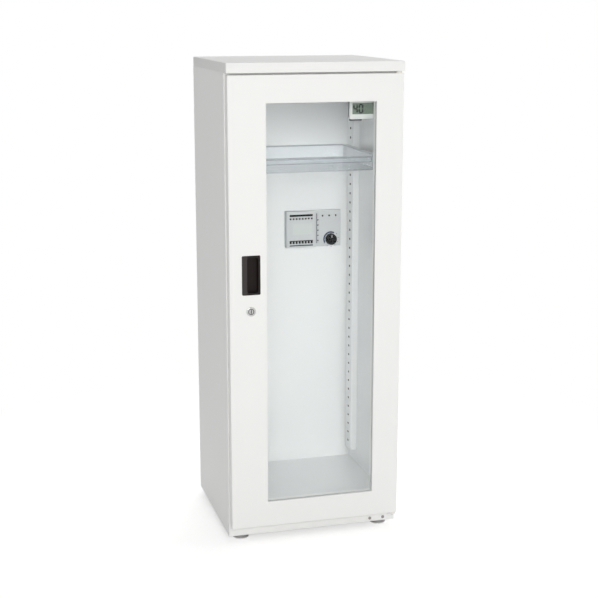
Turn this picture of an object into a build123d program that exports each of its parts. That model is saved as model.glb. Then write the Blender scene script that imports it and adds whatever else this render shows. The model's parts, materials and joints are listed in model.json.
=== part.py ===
from build123d import *
import os

# Dry storage cabinet: a folded steel cabinet with a glazed door, shelf posts, a clear
# tray, a hygrometer and a drying unit in its back wall.
# Millimetres. The origin is on the floor under the middle of the cabinet, the front
# faces -Y, the hinges are on the right at +X, and Z points up.

# Overall size and sheet metal
width = 440.0
depth = 400.0
height = 1195.0
sheet = 1.2
bend = 2.4
proud = 2.0  # how far the lock and the rear screw heads stand off the outer faces
rest_gap = 0.3  # between a moving piece and the seat that carries it
turn_gap = 0.05  # radial clearance of a turning or sliding fit

# Levelling feet
foot_height = 15.0
foot_radius = 21.0
foot_rim = 4.0
foot_edge = 1.0
foot_dish = 34.0
foot_neck = 7.0
foot_inset = 36.0
foot_setback = 29.0
stem_radius = 4.0
stem_reach = 14.0
nut_height = 6.5
nut_radius = 7.5

# Body: cover, front frame, walls
cover_height = 24.0
cover_corner = 3.0
side_flange = 15.0
frame_side = 30.0
frame_bottom = 60.0
frame_top = 34.0
frame_hem = 8.0
wall = 10.0
back_wall = 12.0
floor_height = 56.0
ceiling_drop = 30.0
pan_flange = 20.0
liner_flange = 12.0

# Door and window
door_thickness = 23.0
door_gap = 4.0
door_side_gap = 2.5
door_top_gap = 4.5
door_reveal = 28.5
left_stile = 92.5
right_stile = 68.5
top_rail = 66.0
bottom_rail = 65.5
door_corner = 2.5
window_lip = 4.0
glass_thickness = 4.0
glass_lap = 10.0
seal_wall = 1.5
seal_edge = 3.0
gasket_inset = 14.0
gasket_width = 11.0

# Hinge
hinge_inset = 9.5
pin_radius = 4.0
pin_reach = 14.0
bush_wall = 2.0
bush_flange = 8.0
bracket_plate = 2.5
bracket_width = 70.0
bracket_foot = 2.0
bracket_nose = 8.0
bracket_tongue = 12.0
bracket_bend = 3.5
bracket_screw_inset = 7.0
pin_head = 6.0
pin_head_height = 1.6
pin_chamfer = 0.8
hinge_clearance = 2.8
stiffener = 3.0
stiffener_length = 40.0
bracket_screw_pitch = 35.0
bracket_screw_height = 10.0

# Handle and lock, measured from the body's left side and bottom
handle_left = 33.3
handle_over_lock = 41.0
handle_width = 45.6
handle_height = 96.7
handle_depth = 17.0
handle_rim = 3.0
handle_strip = 12.5
handle_corner = 3.0
cup_wall = 2.0
lock_x_from_left = 55.2
lock_height = 587.0
lock_flange = 11.7
barrel_radius = 9.0
barrel_nose = 4.0
nut_thickness = 3.0
nut_flat = 12.0
plug_radius = 6.0
key_slot = 1.4
cam_setback = 3.0
cam_thickness = 2.0
cam_width = 15.0
cam_lap = 7.0
cam_neck = 3.5
cam_notch_gap = 1.5
cam_head = 5.0

# Shelf posts
post_stand = 17.5
post_width = 50.0
post_setback = 16.0
post_bottom = 92.0
slot_bottom = 115.0
slot_pitch = 25.0
slot_margin = 15.0
slot_wide = 13.0
slot_tall = 6.0
slot_setback = 26.0

# Tray and its rails
rail_slots_down = 5
rail_ledge = 14.0
rail_rise = 5.2
rail_foot = 6.0
hook_fit = 0.4
hook_reach = 3.0
tray_front = 23.0
tray_rear_gap = 28.0
tray_depth = 36.0
tray_wall = 2.5
tray_rim = 10.0
tray_lip = 14.0
tray_corner = 30.0
tray_side_gap = 8.5
tray_draft = 2.0

# Hygrometer, measured from the body's right side and the inner ceiling
meter_right = 55.0
meter_drop = 35.0
meter_width = 72.0
meter_height = 51.0
meter_case = 6.0
meter_back = 13.0
meter_setback = 12.0
meter_wall = 2.0
meter_corner = 4.0
display_left = 7.0
display_bottom = 12.0
display_width = 54.0
display_height = 27.0
display_thickness = 1.5
hanger_width = 30.0
hanger_foot = 20.0

# Drying unit in the back wall, measured from the body's right side and bottom
unit_right = 44.0
unit_bottom = 668.0
unit_width = 155.0
unit_height = 99.0
unit_wall = 2.0
vent_width = 83.0
vent_stand = 20.0
panel_stand = 12.0
tub_inset = 6.0
vent_count = 8
vent_pitch = 8.5
vent_wide = 5.8
long_slot_drop = 11.0
long_slot_tall = 6.0
small_vent_drop = 20.0
small_vent = 5.0
comb_rise = 15.0
comb_tall = 8.5
bead_rise = 6.0
bead_tall = 3.0
dial_x = 127.0
dial_z = 19.0
knob_radius = 15.5
knob_depth = 12.0
knob_draft = 4.0
knob_round = 1.8
flute_count = 10
flute_radius = 1.6
scale_start = 60.0
scale_sweep = 150.0
shaft_radius = 3.0
control_radius = 8.0
scale_inner = 17.0
scale_outer = 21.0
scale_thickness = 0.6
lamp_radius = 2.3
lamp_height = 84.0
lamp_left = 103.5
lamp_pitch = 18.7
dot_count = 5
dot_pitch = 14.2
dot_radius = 2.0
dot_bottom = 16.0
dot_inset = 8.0
board_thickness = 1.6
pack_width = 56.0
pack_height = 60.0
pack_depth = 12.0
pack_lead = 6.0
plate_width = 62.0
plate_height = 70.0
shutter_travel = 4.0
louvre_count = 9
louvre_pitch = 8.0
louvre_tall = 3.0
louvre_wide = 120.0
grommet_hole = 4.5
grommet_wall = 2.5
grommet_lip = 2.5
grommet_drop = 18.0

# Screws
screw_radius = 2.0
head_radius = 4.0
screw_length = 5.0
back_screw_rows = 4
back_screw_end = 60.0
cover_screw_inset = 70.0
upstand = 14.0

# Main planes that the sizes above give
side_x = width / 2
front_y = -depth / 2 + proud
rear_y = depth / 2 - proud
door_back_y = front_y + door_thickness
body_front_y = door_back_y + door_gap
frame_back_y = body_front_y + sheet
back_seat_y = rear_y - sheet
body_bottom_z = foot_height
body_top_z = height - cover_height
body_height = body_top_z - body_bottom_z
inner_x = side_x - wall
inner_rear_y = rear_y - back_wall
floor_z = body_bottom_z + floor_height
ceiling_z = body_top_z - ceiling_drop
opening_x = side_x - frame_side
opening_bottom_z = body_bottom_z + frame_bottom
opening_top_z = body_top_z - frame_top

door_left_x = -side_x + door_side_gap
door_right_x = side_x - door_side_gap
door_bottom_z = body_bottom_z + door_reveal
door_top_z = body_top_z - door_top_gap
window_left_x = door_left_x + left_stile
window_right_x = door_right_x - right_stile
window_bottom_z = door_bottom_z + bottom_rail
window_top_z = door_top_z - top_rail
seal_front_y = front_y + window_lip
glass_front_y = seal_front_y + seal_wall
glass_back_y = glass_front_y + glass_thickness
seal_back_y = glass_back_y + seal_wall

hinge_x = door_right_x - hinge_inset
hinge_y = front_y + door_thickness / 2
bush_radius = pin_radius + turn_gap + bush_wall
lock_x = -side_x + lock_x_from_left
lock_z = body_bottom_z + lock_height
lock_to_hem = abs(lock_x + opening_x)
cam_reach = lock_to_hem + cam_lap
cam_tip = (cam_reach**2 + (cam_width / 2) ** 2) ** 0.5


def upright(y):
    """A plane across the cabinet at depth y: its x runs along X and its y along Z."""
    return Plane.XZ.offset(-y)


def sideways(x):
    """A plane along the cabinet at x: its x runs along Y and its y along Z."""
    return Plane.YZ.offset(x)


def span(left, right, low, high, corner=0.0, mode=Mode.ADD):
    """A rectangle between two corners of the sketch being drawn."""
    with Locations(((left + right) / 2, (low + high) / 2)):
        if corner > 0:
            RectangleRounded(right - left, high - low, corner, mode=mode)
        else:
            Rectangle(right - left, high - low, mode=mode)


def save(part, name):
    """Label one finished piece and write it under its own name."""
    part.label = name
    export_step(part, f"parts/{name}.step")


os.makedirs("parts", exist_ok=True)

# Screw places on the back and on the hinge bracket
back_screw_x = side_x - side_flange / 2
back_screw_step = (body_height - 2 * back_screw_end) / (back_screw_rows - 1)
back_screw_spots = [
    (hand * back_screw_x, body_bottom_z + back_screw_end + row * back_screw_step)
    for hand in (-1, 1)
    for row in range(back_screw_rows)
]
top_plate_z = body_top_z + sheet
cover_screw_x = side_x - cover_screw_inset
cover_screw_spots = [(hand * cover_screw_x, top_plate_z + upstand / 2) for hand in (-1, 1)]
bracket_right_x = hinge_x + bracket_nose
bracket_left_x = bracket_right_x - bracket_width
bracket_screw_z = body_bottom_z + bracket_screw_height
bracket_screw_x = bracket_left_x + bracket_screw_inset
bracket_screw_spots = [
    (bracket_screw_x + index * bracket_screw_pitch, bracket_screw_z) for index in range(2)
]

# Drying unit planes
unit_right_x = side_x - unit_right
unit_x = unit_right_x - unit_width
unit_z = body_bottom_z + unit_bottom
unit_top_z = unit_z + unit_height
vent_right_x = unit_x + vent_width
partition_y = inner_rear_y - unit_wall
vent_front_y = inner_rear_y - vent_stand
panel_front_y = inner_rear_y - panel_stand
tub_left_x = unit_x + tub_inset
tub_right_x = unit_right_x - tub_inset
tub_bottom_z = unit_z + tub_inset
tub_top_z = unit_top_z - tub_inset
grommet_x = unit_x + unit_width / 2
grommet_z = unit_z - grommet_drop

# Side panels: one sheet each, with a flange at the rear that the back panel is screwed to
with BuildPart() as left_side_panel:
    with BuildSketch(Plane.XY.offset(body_bottom_z)):
        with BuildLine():
            FilletPolyline(
                (-side_x, body_front_y),
                (-side_x, back_seat_y),
                (-side_x + side_flange, back_seat_y),
                radius=bend,
            )
            offset(amount=sheet, side=Side.RIGHT)
        make_face()
    extrude(amount=body_height)
    with BuildSketch(upright(back_seat_y)):
        with Locations(*[spot for spot in back_screw_spots if spot[0] < 0]):
            Circle(screw_radius)
    extrude(amount=sheet, mode=Mode.SUBTRACT)
save(left_side_panel.part, "left_side_panel")

with BuildPart() as right_side_panel:
    mirror(left_side_panel.part, about=Plane.YZ)
save(right_side_panel.part, "right_side_panel")

# Back panel: a flat sheet with an opening for the drying unit and a hole for the grommet
with BuildPart() as back_panel:
    with BuildSketch(upright(back_seat_y)):
        span(-side_x, side_x, body_bottom_z, body_top_z)
        span(tub_left_x, tub_right_x, tub_bottom_z, tub_top_z, mode=Mode.SUBTRACT)
        with Locations(*back_screw_spots):
            Circle(screw_radius, mode=Mode.SUBTRACT)
        with Locations((grommet_x, grommet_z)):
            Circle(grommet_hole + grommet_wall, mode=Mode.SUBTRACT)
    extrude(amount=-sheet)
save(back_panel.part, "back_panel")

# Base pan: a folded sheet between the side panels, drilled for the feet
foot_front_y = body_front_y + foot_setback
foot_rear_y = rear_y - foot_setback
foot_x = side_x - foot_inset
foot_spots = {
    "foot_front_left": (-foot_x, foot_front_y),
    "foot_front_right": (foot_x, foot_front_y),
    "foot_rear_left": (-foot_x, foot_rear_y),
    "foot_rear_right": (foot_x, foot_rear_y),
}
panel_inner_x = side_x - sheet
pan_rear_y = back_seat_y - bend
pan_mid_y = (frame_back_y + pan_rear_y) / 2
with BuildPart() as base_pan:
    with BuildSketch(upright(frame_back_y)):
        with BuildLine():
            FilletPolyline(
                (-panel_inner_x, body_bottom_z + pan_flange),
                (-panel_inner_x, body_bottom_z),
                (panel_inner_x, body_bottom_z),
                (panel_inner_x, body_bottom_z + pan_flange),
                radius=bend,
            )
            offset(amount=sheet, side=Side.LEFT)
        make_face()
    extrude(amount=frame_back_y - pan_rear_y)
    with Locations(*[(x, y, body_bottom_z + sheet) for x, y in foot_spots.values()]):
        Hole(stem_radius + turn_gap, depth=2 * sheet)
save(base_pan.part, "base_pan")

# Front frame: the painted face round the door opening, with a hem turned back all round
# and a notch in the left hem for the sweep of the lock's cam
with BuildPart() as front_frame:
    with BuildSketch(upright(body_front_y)):
        span(-panel_inner_x, panel_inner_x, body_bottom_z, body_top_z)
        span(-opening_x, opening_x, opening_bottom_z, opening_top_z, mode=Mode.SUBTRACT)
        with Locations(*bracket_screw_spots):
            Circle(screw_radius, mode=Mode.SUBTRACT)
    extrude(amount=-sheet)
    with BuildSketch(upright(frame_back_y)):
        span(
            -opening_x - sheet,
            opening_x + sheet,
            opening_bottom_z - sheet,
            opening_top_z + sheet,
        )
        span(-opening_x, opening_x, opening_bottom_z, opening_top_z, mode=Mode.SUBTRACT)
    extrude(amount=-frame_hem)
    with BuildSketch(upright(frame_back_y)):
        notch_half = (cam_tip**2 - lock_to_hem**2) ** 0.5 + cam_notch_gap
        span(-opening_x - sheet, -opening_x, lock_z - notch_half, lock_z + notch_half)
    extrude(amount=-frame_hem, mode=Mode.SUBTRACT)
save(front_frame.part, "front_frame")

# Top panel: closes the body, reaches forward under the cover to carry the upper hinge pin
# and turns up at the rear behind the cover's skirt
cover_inner_front_y = front_y + sheet
with BuildPart() as top_panel:
    with BuildSketch(Plane.XY.offset(body_top_z)):
        span(
            -panel_inner_x,
            panel_inner_x,
            cover_inner_front_y,
            back_seat_y,
            corner=cover_corner - sheet,
        )
        with Locations((hinge_x, hinge_y)):
            Circle(pin_radius, mode=Mode.SUBTRACT)
    extrude(amount=sheet)
    with BuildSketch(upright(back_seat_y - sheet)):
        upstand_x = side_x - cover_corner
        span(-upstand_x, upstand_x, top_plate_z, top_plate_z + upstand)
        with Locations(*cover_screw_spots):
            Circle(screw_radius, mode=Mode.SUBTRACT)
    extrude(amount=-sheet)
    with BuildSketch(Plane.XY.offset(body_top_z)):
        for hand in (-1, 1):
            with Locations((hand * (panel_inner_x - sheet / 2), pan_mid_y)):
                Rectangle(sheet, pan_rear_y - frame_back_y)
    extrude(amount=-pan_flange)
save(top_panel.part, "top_panel")

# Top cover: a drawn cap over the body and the door, open below
with BuildPart() as top_cover:
    with BuildSketch(Plane.XY.offset(body_top_z)):
        span(-side_x, side_x, front_y, rear_y, corner=cover_corner)
    extrude(amount=cover_height)
    fillet(top_cover.faces().sort_by(Axis.Z)[-1].edges(), radius=bend)
    offset(amount=-sheet, openings=top_cover.faces().sort_by(Axis.Z)[0])
    with BuildSketch(upright(back_seat_y)):
        with Locations(*cover_screw_spots):
            Circle(screw_radius)
    extrude(amount=-sheet, mode=Mode.SUBTRACT)
save(top_cover.part, "top_cover")

# Liners: the painted inside of the cabinet
with BuildPart() as left_liner:
    with BuildSketch(sideways(-inner_x - sheet)):
        span(frame_back_y, inner_rear_y, floor_z, ceiling_z)
    extrude(amount=sheet)
save(left_liner.part, "left_liner")

with BuildPart() as right_liner:
    mirror(left_liner.part, about=Plane.YZ)
save(right_liner.part, "right_liner")

with BuildPart() as back_liner:
    with BuildSketch(upright(inner_rear_y)):
        span(-inner_x - sheet, inner_x + sheet, floor_z, ceiling_z)
        span(tub_left_x, tub_right_x, tub_bottom_z, tub_top_z, mode=Mode.SUBTRACT)
    extrude(amount=-sheet)
save(back_liner.part, "back_liner")

with BuildPart() as inner_floor:
    with BuildSketch(sideways(-inner_x - sheet)):
        with BuildLine():
            FilletPolyline(
                (frame_back_y, floor_z - liner_flange),
                (frame_back_y, floor_z),
                (inner_rear_y + sheet, floor_z),
                radius=bend,
            )
            offset(amount=sheet, side=Side.RIGHT)
        make_face()
    extrude(amount=2 * (inner_x + sheet))
save(inner_floor.part, "inner_floor")

with BuildPart() as inner_ceiling:
    with BuildSketch(sideways(-inner_x - sheet)):
        with BuildLine():
            FilletPolyline(
                (frame_back_y, ceiling_z + liner_flange),
                (frame_back_y, ceiling_z),
                (inner_rear_y + sheet, ceiling_z),
                radius=bend,
            )
            offset(amount=sheet, side=Side.LEFT)
        make_face()
    extrude(amount=2 * (inner_x + sheet))
save(inner_ceiling.part, "inner_ceiling")

# Shelf posts: open channels on the side liners, with one column of slots each
post_face_x = inner_x - post_stand
post_bottom_z = body_bottom_z + post_bottom
post_top_z = ceiling_z - (post_bottom_z - floor_z)
first_slot_z = body_bottom_z + slot_bottom
slot_count = int((post_top_z - slot_margin - first_slot_z) / slot_pitch) + 1
front_post_y = frame_back_y + post_setback
rear_post_y = inner_rear_y - post_setback - post_width


def make_post(start_y, slot_y):
    """A left-hand post whose front edge is at start_y, with its slots at slot_y."""
    with BuildPart() as post:
        with BuildSketch(Plane.XY.offset(post_bottom_z)):
            with BuildLine():
                FilletPolyline(
                    (-inner_x, start_y),
                    (-post_face_x, start_y),
                    (-post_face_x, start_y + post_width),
                    (-inner_x, start_y + post_width),
                    radius=bend,
                )
                offset(amount=sheet, side=Side.LEFT)
            make_face()
        extrude(amount=post_top_z - post_bottom_z)
        with BuildSketch(sideways(-post_face_x)):
            for index in range(slot_count):
                with Locations((slot_y, first_slot_z + index * slot_pitch)):
                    Rectangle(slot_wide, slot_tall)
        extrude(amount=-sheet, mode=Mode.SUBTRACT)
    return post.part


front_slot_y = front_post_y + slot_setback
rear_slot_y = rear_post_y + post_width - slot_setback
front_left_post = make_post(front_post_y, front_slot_y)
rear_left_post = make_post(rear_post_y, rear_slot_y)
save(front_left_post, "front_left_post")
save(rear_left_post, "rear_left_post")

with BuildPart() as front_right_post:
    mirror(front_left_post, about=Plane.YZ)
save(front_right_post.part, "front_right_post")

with BuildPart() as rear_right_post:
    mirror(rear_left_post, about=Plane.YZ)
save(rear_right_post.part, "rear_right_post")

# Tray rails: angles that hang by hooks in two neighbouring slots of each post
rail_slot_z = first_slot_z + (slot_count - 1 - rail_slots_down) * slot_pitch
rail_top_z = rail_slot_z + rail_rise
rail_face_x = post_face_x - sheet
ledge_x = post_face_x - rail_ledge
hook_rows = [rail_slot_z - step * slot_pitch for step in range(2)]
with BuildPart() as left_tray_rail:
    with BuildSketch(upright(front_post_y)):
        with BuildLine():
            FilletPolyline(
                (-ledge_x, rail_top_z),
                (-post_face_x, rail_top_z),
                (-post_face_x, hook_rows[-1] - rail_foot),
                radius=bend,
            )
            offset(amount=sheet, side=Side.LEFT)
        make_face()
    extrude(amount=-(rear_post_y + post_width - front_post_y))
    with BuildSketch(sideways(-rail_face_x)):
        for slot_y in (front_slot_y, rear_slot_y):
            for row_z in hook_rows:
                with Locations((slot_y, row_z)):
                    Rectangle(slot_wide - 2 * hook_fit, slot_tall - 2 * hook_fit)
    extrude(amount=-(sheet + hook_reach))
save(left_tray_rail.part, "left_tray_rail")

with BuildPart() as right_tray_rail:
    mirror(left_tray_rail.part, about=Plane.YZ)
save(right_tray_rail.part, "right_tray_rail")

# Tray: a drawn clear tub whose rim rides on the rails, with a lip to pull it by
tray_top_z = rail_top_z + rest_gap + tray_wall
tray_half = post_face_x - tray_side_gap
tray_front_y = body_front_y + tray_front
tray_rear_y = inner_rear_y - tray_rear_gap
tub_corner = tray_corner - tray_rim
with BuildPart() as tray:
    with BuildSketch(Plane.XY.offset(tray_top_z)):
        span(
            -tray_half + tray_rim,
            tray_half - tray_rim,
            tray_front_y + tray_rim,
            tray_rear_y - tray_rim,
            corner=tub_corner,
        )
    extrude(amount=-tray_depth, taper=tray_draft)
    fillet(tray.faces().sort_by(Axis.Z)[0].edges(), radius=tray_wall * 2)
    with BuildSketch(Plane.XY.offset(tray_top_z - tray_wall)):
        span(-tray_half, tray_half, tray_front_y, tray_rear_y, corner=tray_corner)
    extrude(amount=tray_wall)
    with BuildSketch(Plane.XY.offset(tray_top_z)):
        inset = tray_rim + tray_wall
        span(
            -tray_half + inset,
            tray_half - inset,
            tray_front_y + inset,
            tray_rear_y - inset,
            corner=tub_corner - tray_wall,
        )
    extrude(amount=tray_wall - tray_depth, taper=tray_draft, mode=Mode.SUBTRACT)
    lip_half = tray_half - tray_corner
    with BuildSketch(Plane.XY.offset(tray_top_z)):
        span(-lip_half, lip_half, tray_front_y, tray_front_y + tray_wall)
    extrude(amount=-tray_lip)
save(tray.part, "tray")

# Levelling feet: a turned dish on a threaded stem, each in its nut
foot_top_z = foot_height - rest_gap
for foot_name, (x, y) in foot_spots.items():
    with BuildPart() as foot:
        with BuildSketch(Plane.XZ):
            with BuildLine():
                Polyline(
                    (0, 0),
                    (foot_radius - foot_edge, 0),
                    (foot_radius, foot_edge),
                    (foot_radius, foot_rim),
                )
                RadiusArc(
                    (foot_radius, foot_rim),
                    (foot_neck, foot_top_z - foot_rim),
                    foot_dish,
                )
                Polyline(
                    (foot_neck, foot_top_z - foot_rim),
                    (foot_neck, foot_top_z),
                    (stem_radius, foot_top_z),
                    (stem_radius, foot_height + stem_reach),
                    (0, foot_height + stem_reach),
                    (0, 0),
                )
            make_face()
        revolve(axis=Axis.Z)
    save(foot.part.moved(Location((x, y, 0))), foot_name)

with BuildPart() as foot_nuts:
    with BuildSketch(Plane.XY.offset(body_bottom_z + sheet)):
        with Locations(*foot_spots.values()):
            RegularPolygon(nut_radius, 6)
            Circle(stem_radius + turn_gap, mode=Mode.SUBTRACT)
    extrude(amount=nut_height)
save(foot_nuts.part, "foot_nuts")

# Door skin: a pan with a window whose edge turns in to meet the glazing seal
with BuildPart() as door_skin:
    with BuildSketch(upright(front_y)):
        span(door_left_x, door_right_x, door_bottom_z, door_top_z, corner=door_corner)
    extrude(amount=-door_thickness)
    fillet(door_skin.faces().sort_by(Axis.Y)[0].edges(), radius=bend)
    offset(amount=-sheet, openings=door_skin.faces().sort_by(Axis.Y)[-1])
    with BuildSketch(upright(front_y)):
        span(
            window_left_x - sheet,
            window_right_x + sheet,
            window_bottom_z - sheet,
            window_top_z + sheet,
        )
    extrude(amount=-window_lip)
    with BuildSketch(upright(front_y)):
        span(window_left_x, window_right_x, window_bottom_z, window_top_z)
    extrude(amount=-window_lip, mode=Mode.SUBTRACT)
    with BuildSketch(upright(front_y)):
        handle_x = -side_x + handle_left
        handle_z = lock_z + handle_over_lock
        span(
            handle_x + handle_rim,
            handle_x + handle_width - handle_rim,
            handle_z + handle_rim,
            handle_z + handle_height - handle_rim,
        )
        with Locations((lock_x, lock_z)):
            Circle(barrel_radius)
    extrude(amount=-sheet, mode=Mode.SUBTRACT)
    for end_z, direction in ((door_bottom_z, 1), (door_top_z, -1)):
        with BuildSketch(Plane.XY.offset(end_z)):
            with Locations((hinge_x, hinge_y)):
                Circle(bush_radius)
        extrude(amount=direction * sheet, mode=Mode.SUBTRACT)
save(door_skin.part, "door_skin")

# Door back frame: closes the pan and turns in round the window to clamp the glazing seal
with BuildPart() as door_back_frame:
    with BuildSketch(upright(door_back_y)):
        span(
            door_left_x + sheet,
            door_right_x - sheet,
            door_bottom_z + sheet,
            door_top_z - sheet,
            corner=door_corner - sheet,
        )
    extrude(amount=sheet)
    with BuildSketch(upright(door_back_y)):
        span(
            window_left_x - sheet,
            window_right_x + sheet,
            window_bottom_z - sheet,
            window_top_z + sheet,
        )
    extrude(amount=door_back_y - seal_back_y)
    with BuildSketch(upright(door_back_y)):
        span(window_left_x, window_right_x, window_bottom_z, window_top_z)
        with Locations((lock_x, lock_z)):
            Circle(barrel_radius)
    extrude(amount=door_back_y - seal_back_y, mode=Mode.SUBTRACT)
save(door_back_frame.part, "door_back_frame")

# Glass and the rubber channel round its edge
with BuildPart() as door_glass:
    with BuildSketch(upright(glass_front_y)):
        span(
            window_left_x - glass_lap,
            window_right_x + glass_lap,
            window_bottom_z - glass_lap,
            window_top_z + glass_lap,
        )
    extrude(amount=-glass_thickness)
save(door_glass.part, "door_glass")

with BuildPart() as glazing_seal:
    with BuildSketch(upright(seal_front_y)):
        margin = glass_lap + seal_edge
        span(
            window_left_x - margin,
            window_right_x + margin,
            window_bottom_z - margin,
            window_top_z + margin,
        )
        span(
            window_left_x,
            window_right_x,
            window_bottom_z,
            window_top_z,
            mode=Mode.SUBTRACT,
        )
    extrude(amount=seal_front_y - seal_back_y)
    add(door_glass.part, mode=Mode.SUBTRACT)
save(glazing_seal.part, "glazing_seal")

# Door gasket: a soft magnetic strip that meets the front frame
with BuildPart() as door_gasket:
    with BuildSketch(upright(door_back_y)):
        inset = gasket_inset
        span(
            door_left_x + inset,
            door_right_x - inset,
            door_bottom_z + inset,
            door_top_z - inset,
            corner=gasket_width / 2,
        )
        inset = gasket_inset + gasket_width
        span(
            door_left_x + inset,
            door_right_x - inset,
            door_bottom_z + inset,
            door_top_z - inset,
            mode=Mode.SUBTRACT,
        )
    extrude(amount=-(door_gap - rest_gap))
save(door_gasket.part, "door_gasket")

# Hinge bushes and the plates inside the door that they pass through
lower_bush_flange = hinge_clearance - rest_gap
upper_bush_flange = door_top_gap - rest_gap
with BuildPart() as hinge_bushes:
    for end_z, direction, flange in (
        (door_bottom_z, 1, lower_bush_flange),
        (door_top_z, -1, upper_bush_flange),
    ):
        with BuildSketch(Plane.XY.offset(end_z)):
            with Locations((hinge_x, hinge_y)):
                Circle(bush_radius)
                Circle(pin_radius + turn_gap, mode=Mode.SUBTRACT)
        extrude(amount=direction * pin_reach)
        with BuildSketch(Plane.XY.offset(end_z)):
            with Locations((hinge_x, hinge_y)):
                Circle(bush_flange)
                Circle(pin_radius + turn_gap, mode=Mode.SUBTRACT)
        extrude(amount=-direction * flange)
save(hinge_bushes.part, "hinge_bushes")

with BuildPart() as hinge_plates:
    for plate_z in (door_bottom_z + sheet, door_top_z - sheet - stiffener):
        with BuildSketch(Plane.XY.offset(plate_z)):
            span(
                door_right_x - bend - stiffener_length,
                door_right_x - bend,
                front_y + bend,
                door_back_y - bend,
            )
            with Locations((hinge_x, hinge_y)):
                Circle(bush_radius, mode=Mode.SUBTRACT)
        extrude(amount=stiffener)
save(hinge_plates.part, "hinge_plates")

# Hinge brackets and pins
bracket_top_z = door_bottom_z - hinge_clearance
bracket_front_y = hinge_y - bracket_nose
with BuildPart() as bottom_hinge_bracket:
    with BuildSketch(sideways(bracket_left_x)):
        with BuildLine():
            FilletPolyline(
                (body_front_y, body_bottom_z + bracket_foot),
                (body_front_y, bracket_top_z),
                (bracket_front_y, bracket_top_z),
                radius=bracket_bend,
            )
            offset(amount=bracket_plate, side=Side.LEFT)
        make_face()
    extrude(amount=bracket_width)
    leg_end_y = body_front_y - bracket_bend
    with BuildSketch(Plane.XY.offset(bracket_top_z)):
        span(
            bracket_left_x,
            hinge_x - bracket_tongue,
            bracket_front_y,
            leg_end_y,
        )
        with Locations((hinge_x, hinge_y)):
            Circle(pin_radius)
    extrude(amount=-bracket_plate, mode=Mode.SUBTRACT)
    with BuildSketch(upright(body_front_y)):
        with Locations(*bracket_screw_spots):
            Circle(screw_radius)
    extrude(amount=bracket_plate, mode=Mode.SUBTRACT)
    nose_edges = bottom_hinge_bracket.edges().filter_by(Axis.Z).group_by(Axis.Y)[0]
    fillet(nose_edges, radius=bracket_nose / 2)
save(bottom_hinge_bracket.part, "bottom_hinge_bracket")

with BuildPart() as bottom_hinge_pin:
    with BuildSketch(Plane.XY.offset(bracket_top_z - bracket_plate)):
        with Locations((hinge_x, hinge_y)):
            Circle(pin_radius)
    extrude(amount=bracket_plate + hinge_clearance + pin_reach)
    with BuildSketch(Plane.XY.offset(bracket_top_z - bracket_plate)):
        with Locations((hinge_x, hinge_y)):
            Circle(pin_head)
    extrude(amount=-pin_head_height)
    chamfer(bottom_hinge_pin.faces().sort_by(Axis.Z)[-1].edges(), length=pin_chamfer)
save(bottom_hinge_pin.part, "bottom_hinge_pin")

plate_front_y = cover_inner_front_y
plate_rear_y = body_front_y + bracket_width / 2
with BuildPart() as top_hinge_bracket:
    with BuildSketch(Plane.XY.offset(top_plate_z)):
        span(bracket_left_x, bracket_right_x, plate_front_y, plate_rear_y)
        with Locations((hinge_x, hinge_y)):
            Circle(pin_radius, mode=Mode.SUBTRACT)
    extrude(amount=bracket_plate)
    rear_corners = top_hinge_bracket.edges().filter_by(Axis.Z).group_by(Axis.Y)[-1]
    fillet(rear_corners, radius=bracket_nose)
save(top_hinge_bracket.part, "top_hinge_bracket")

with BuildPart() as top_hinge_pin:
    with BuildSketch(Plane.XY.offset(door_top_z - pin_reach)):
        with Locations((hinge_x, hinge_y)):
            Circle(pin_radius)
    extrude(amount=top_plate_z + bracket_plate - door_top_z + pin_reach)
    with BuildSketch(Plane.XY.offset(top_plate_z + bracket_plate)):
        with Locations((hinge_x, hinge_y)):
            Circle(pin_head)
    extrude(amount=pin_head_height)
    chamfer(top_hinge_pin.faces().sort_by(Axis.Z)[0].edges(), length=pin_chamfer)
save(top_hinge_pin.part, "top_hinge_pin")

# Screws: pan heads on the back panel, the cover's rear skirt and the hinge bracket


def make_screws(spots, seat_y, facing):
    """Pan head screws at (x, z) spots, seated at seat_y, with heads towards facing."""
    with BuildPart() as screws:
        with BuildSketch(upright(seat_y)):
            with Locations(*spots):
                Circle(screw_radius)
        extrude(amount=facing * screw_length)
        with BuildSketch(upright(seat_y)):
            with Locations(*spots):
                Circle(head_radius)
        extrude(amount=-facing * proud)
        heads = screws.faces().group_by(Axis.Y)[-1 if facing > 0 else 0]
        fillet(heads.edges(), radius=proud * 0.6)
    return screws.part


with BuildPart() as case_screws:
    add(make_screws(back_screw_spots, rear_y, 1))
    add(make_screws(cover_screw_spots, rear_y, 1))
    add(make_screws(bracket_screw_spots, body_front_y - bracket_plate, -1))
save(case_screws.part, "case_screws")

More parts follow.
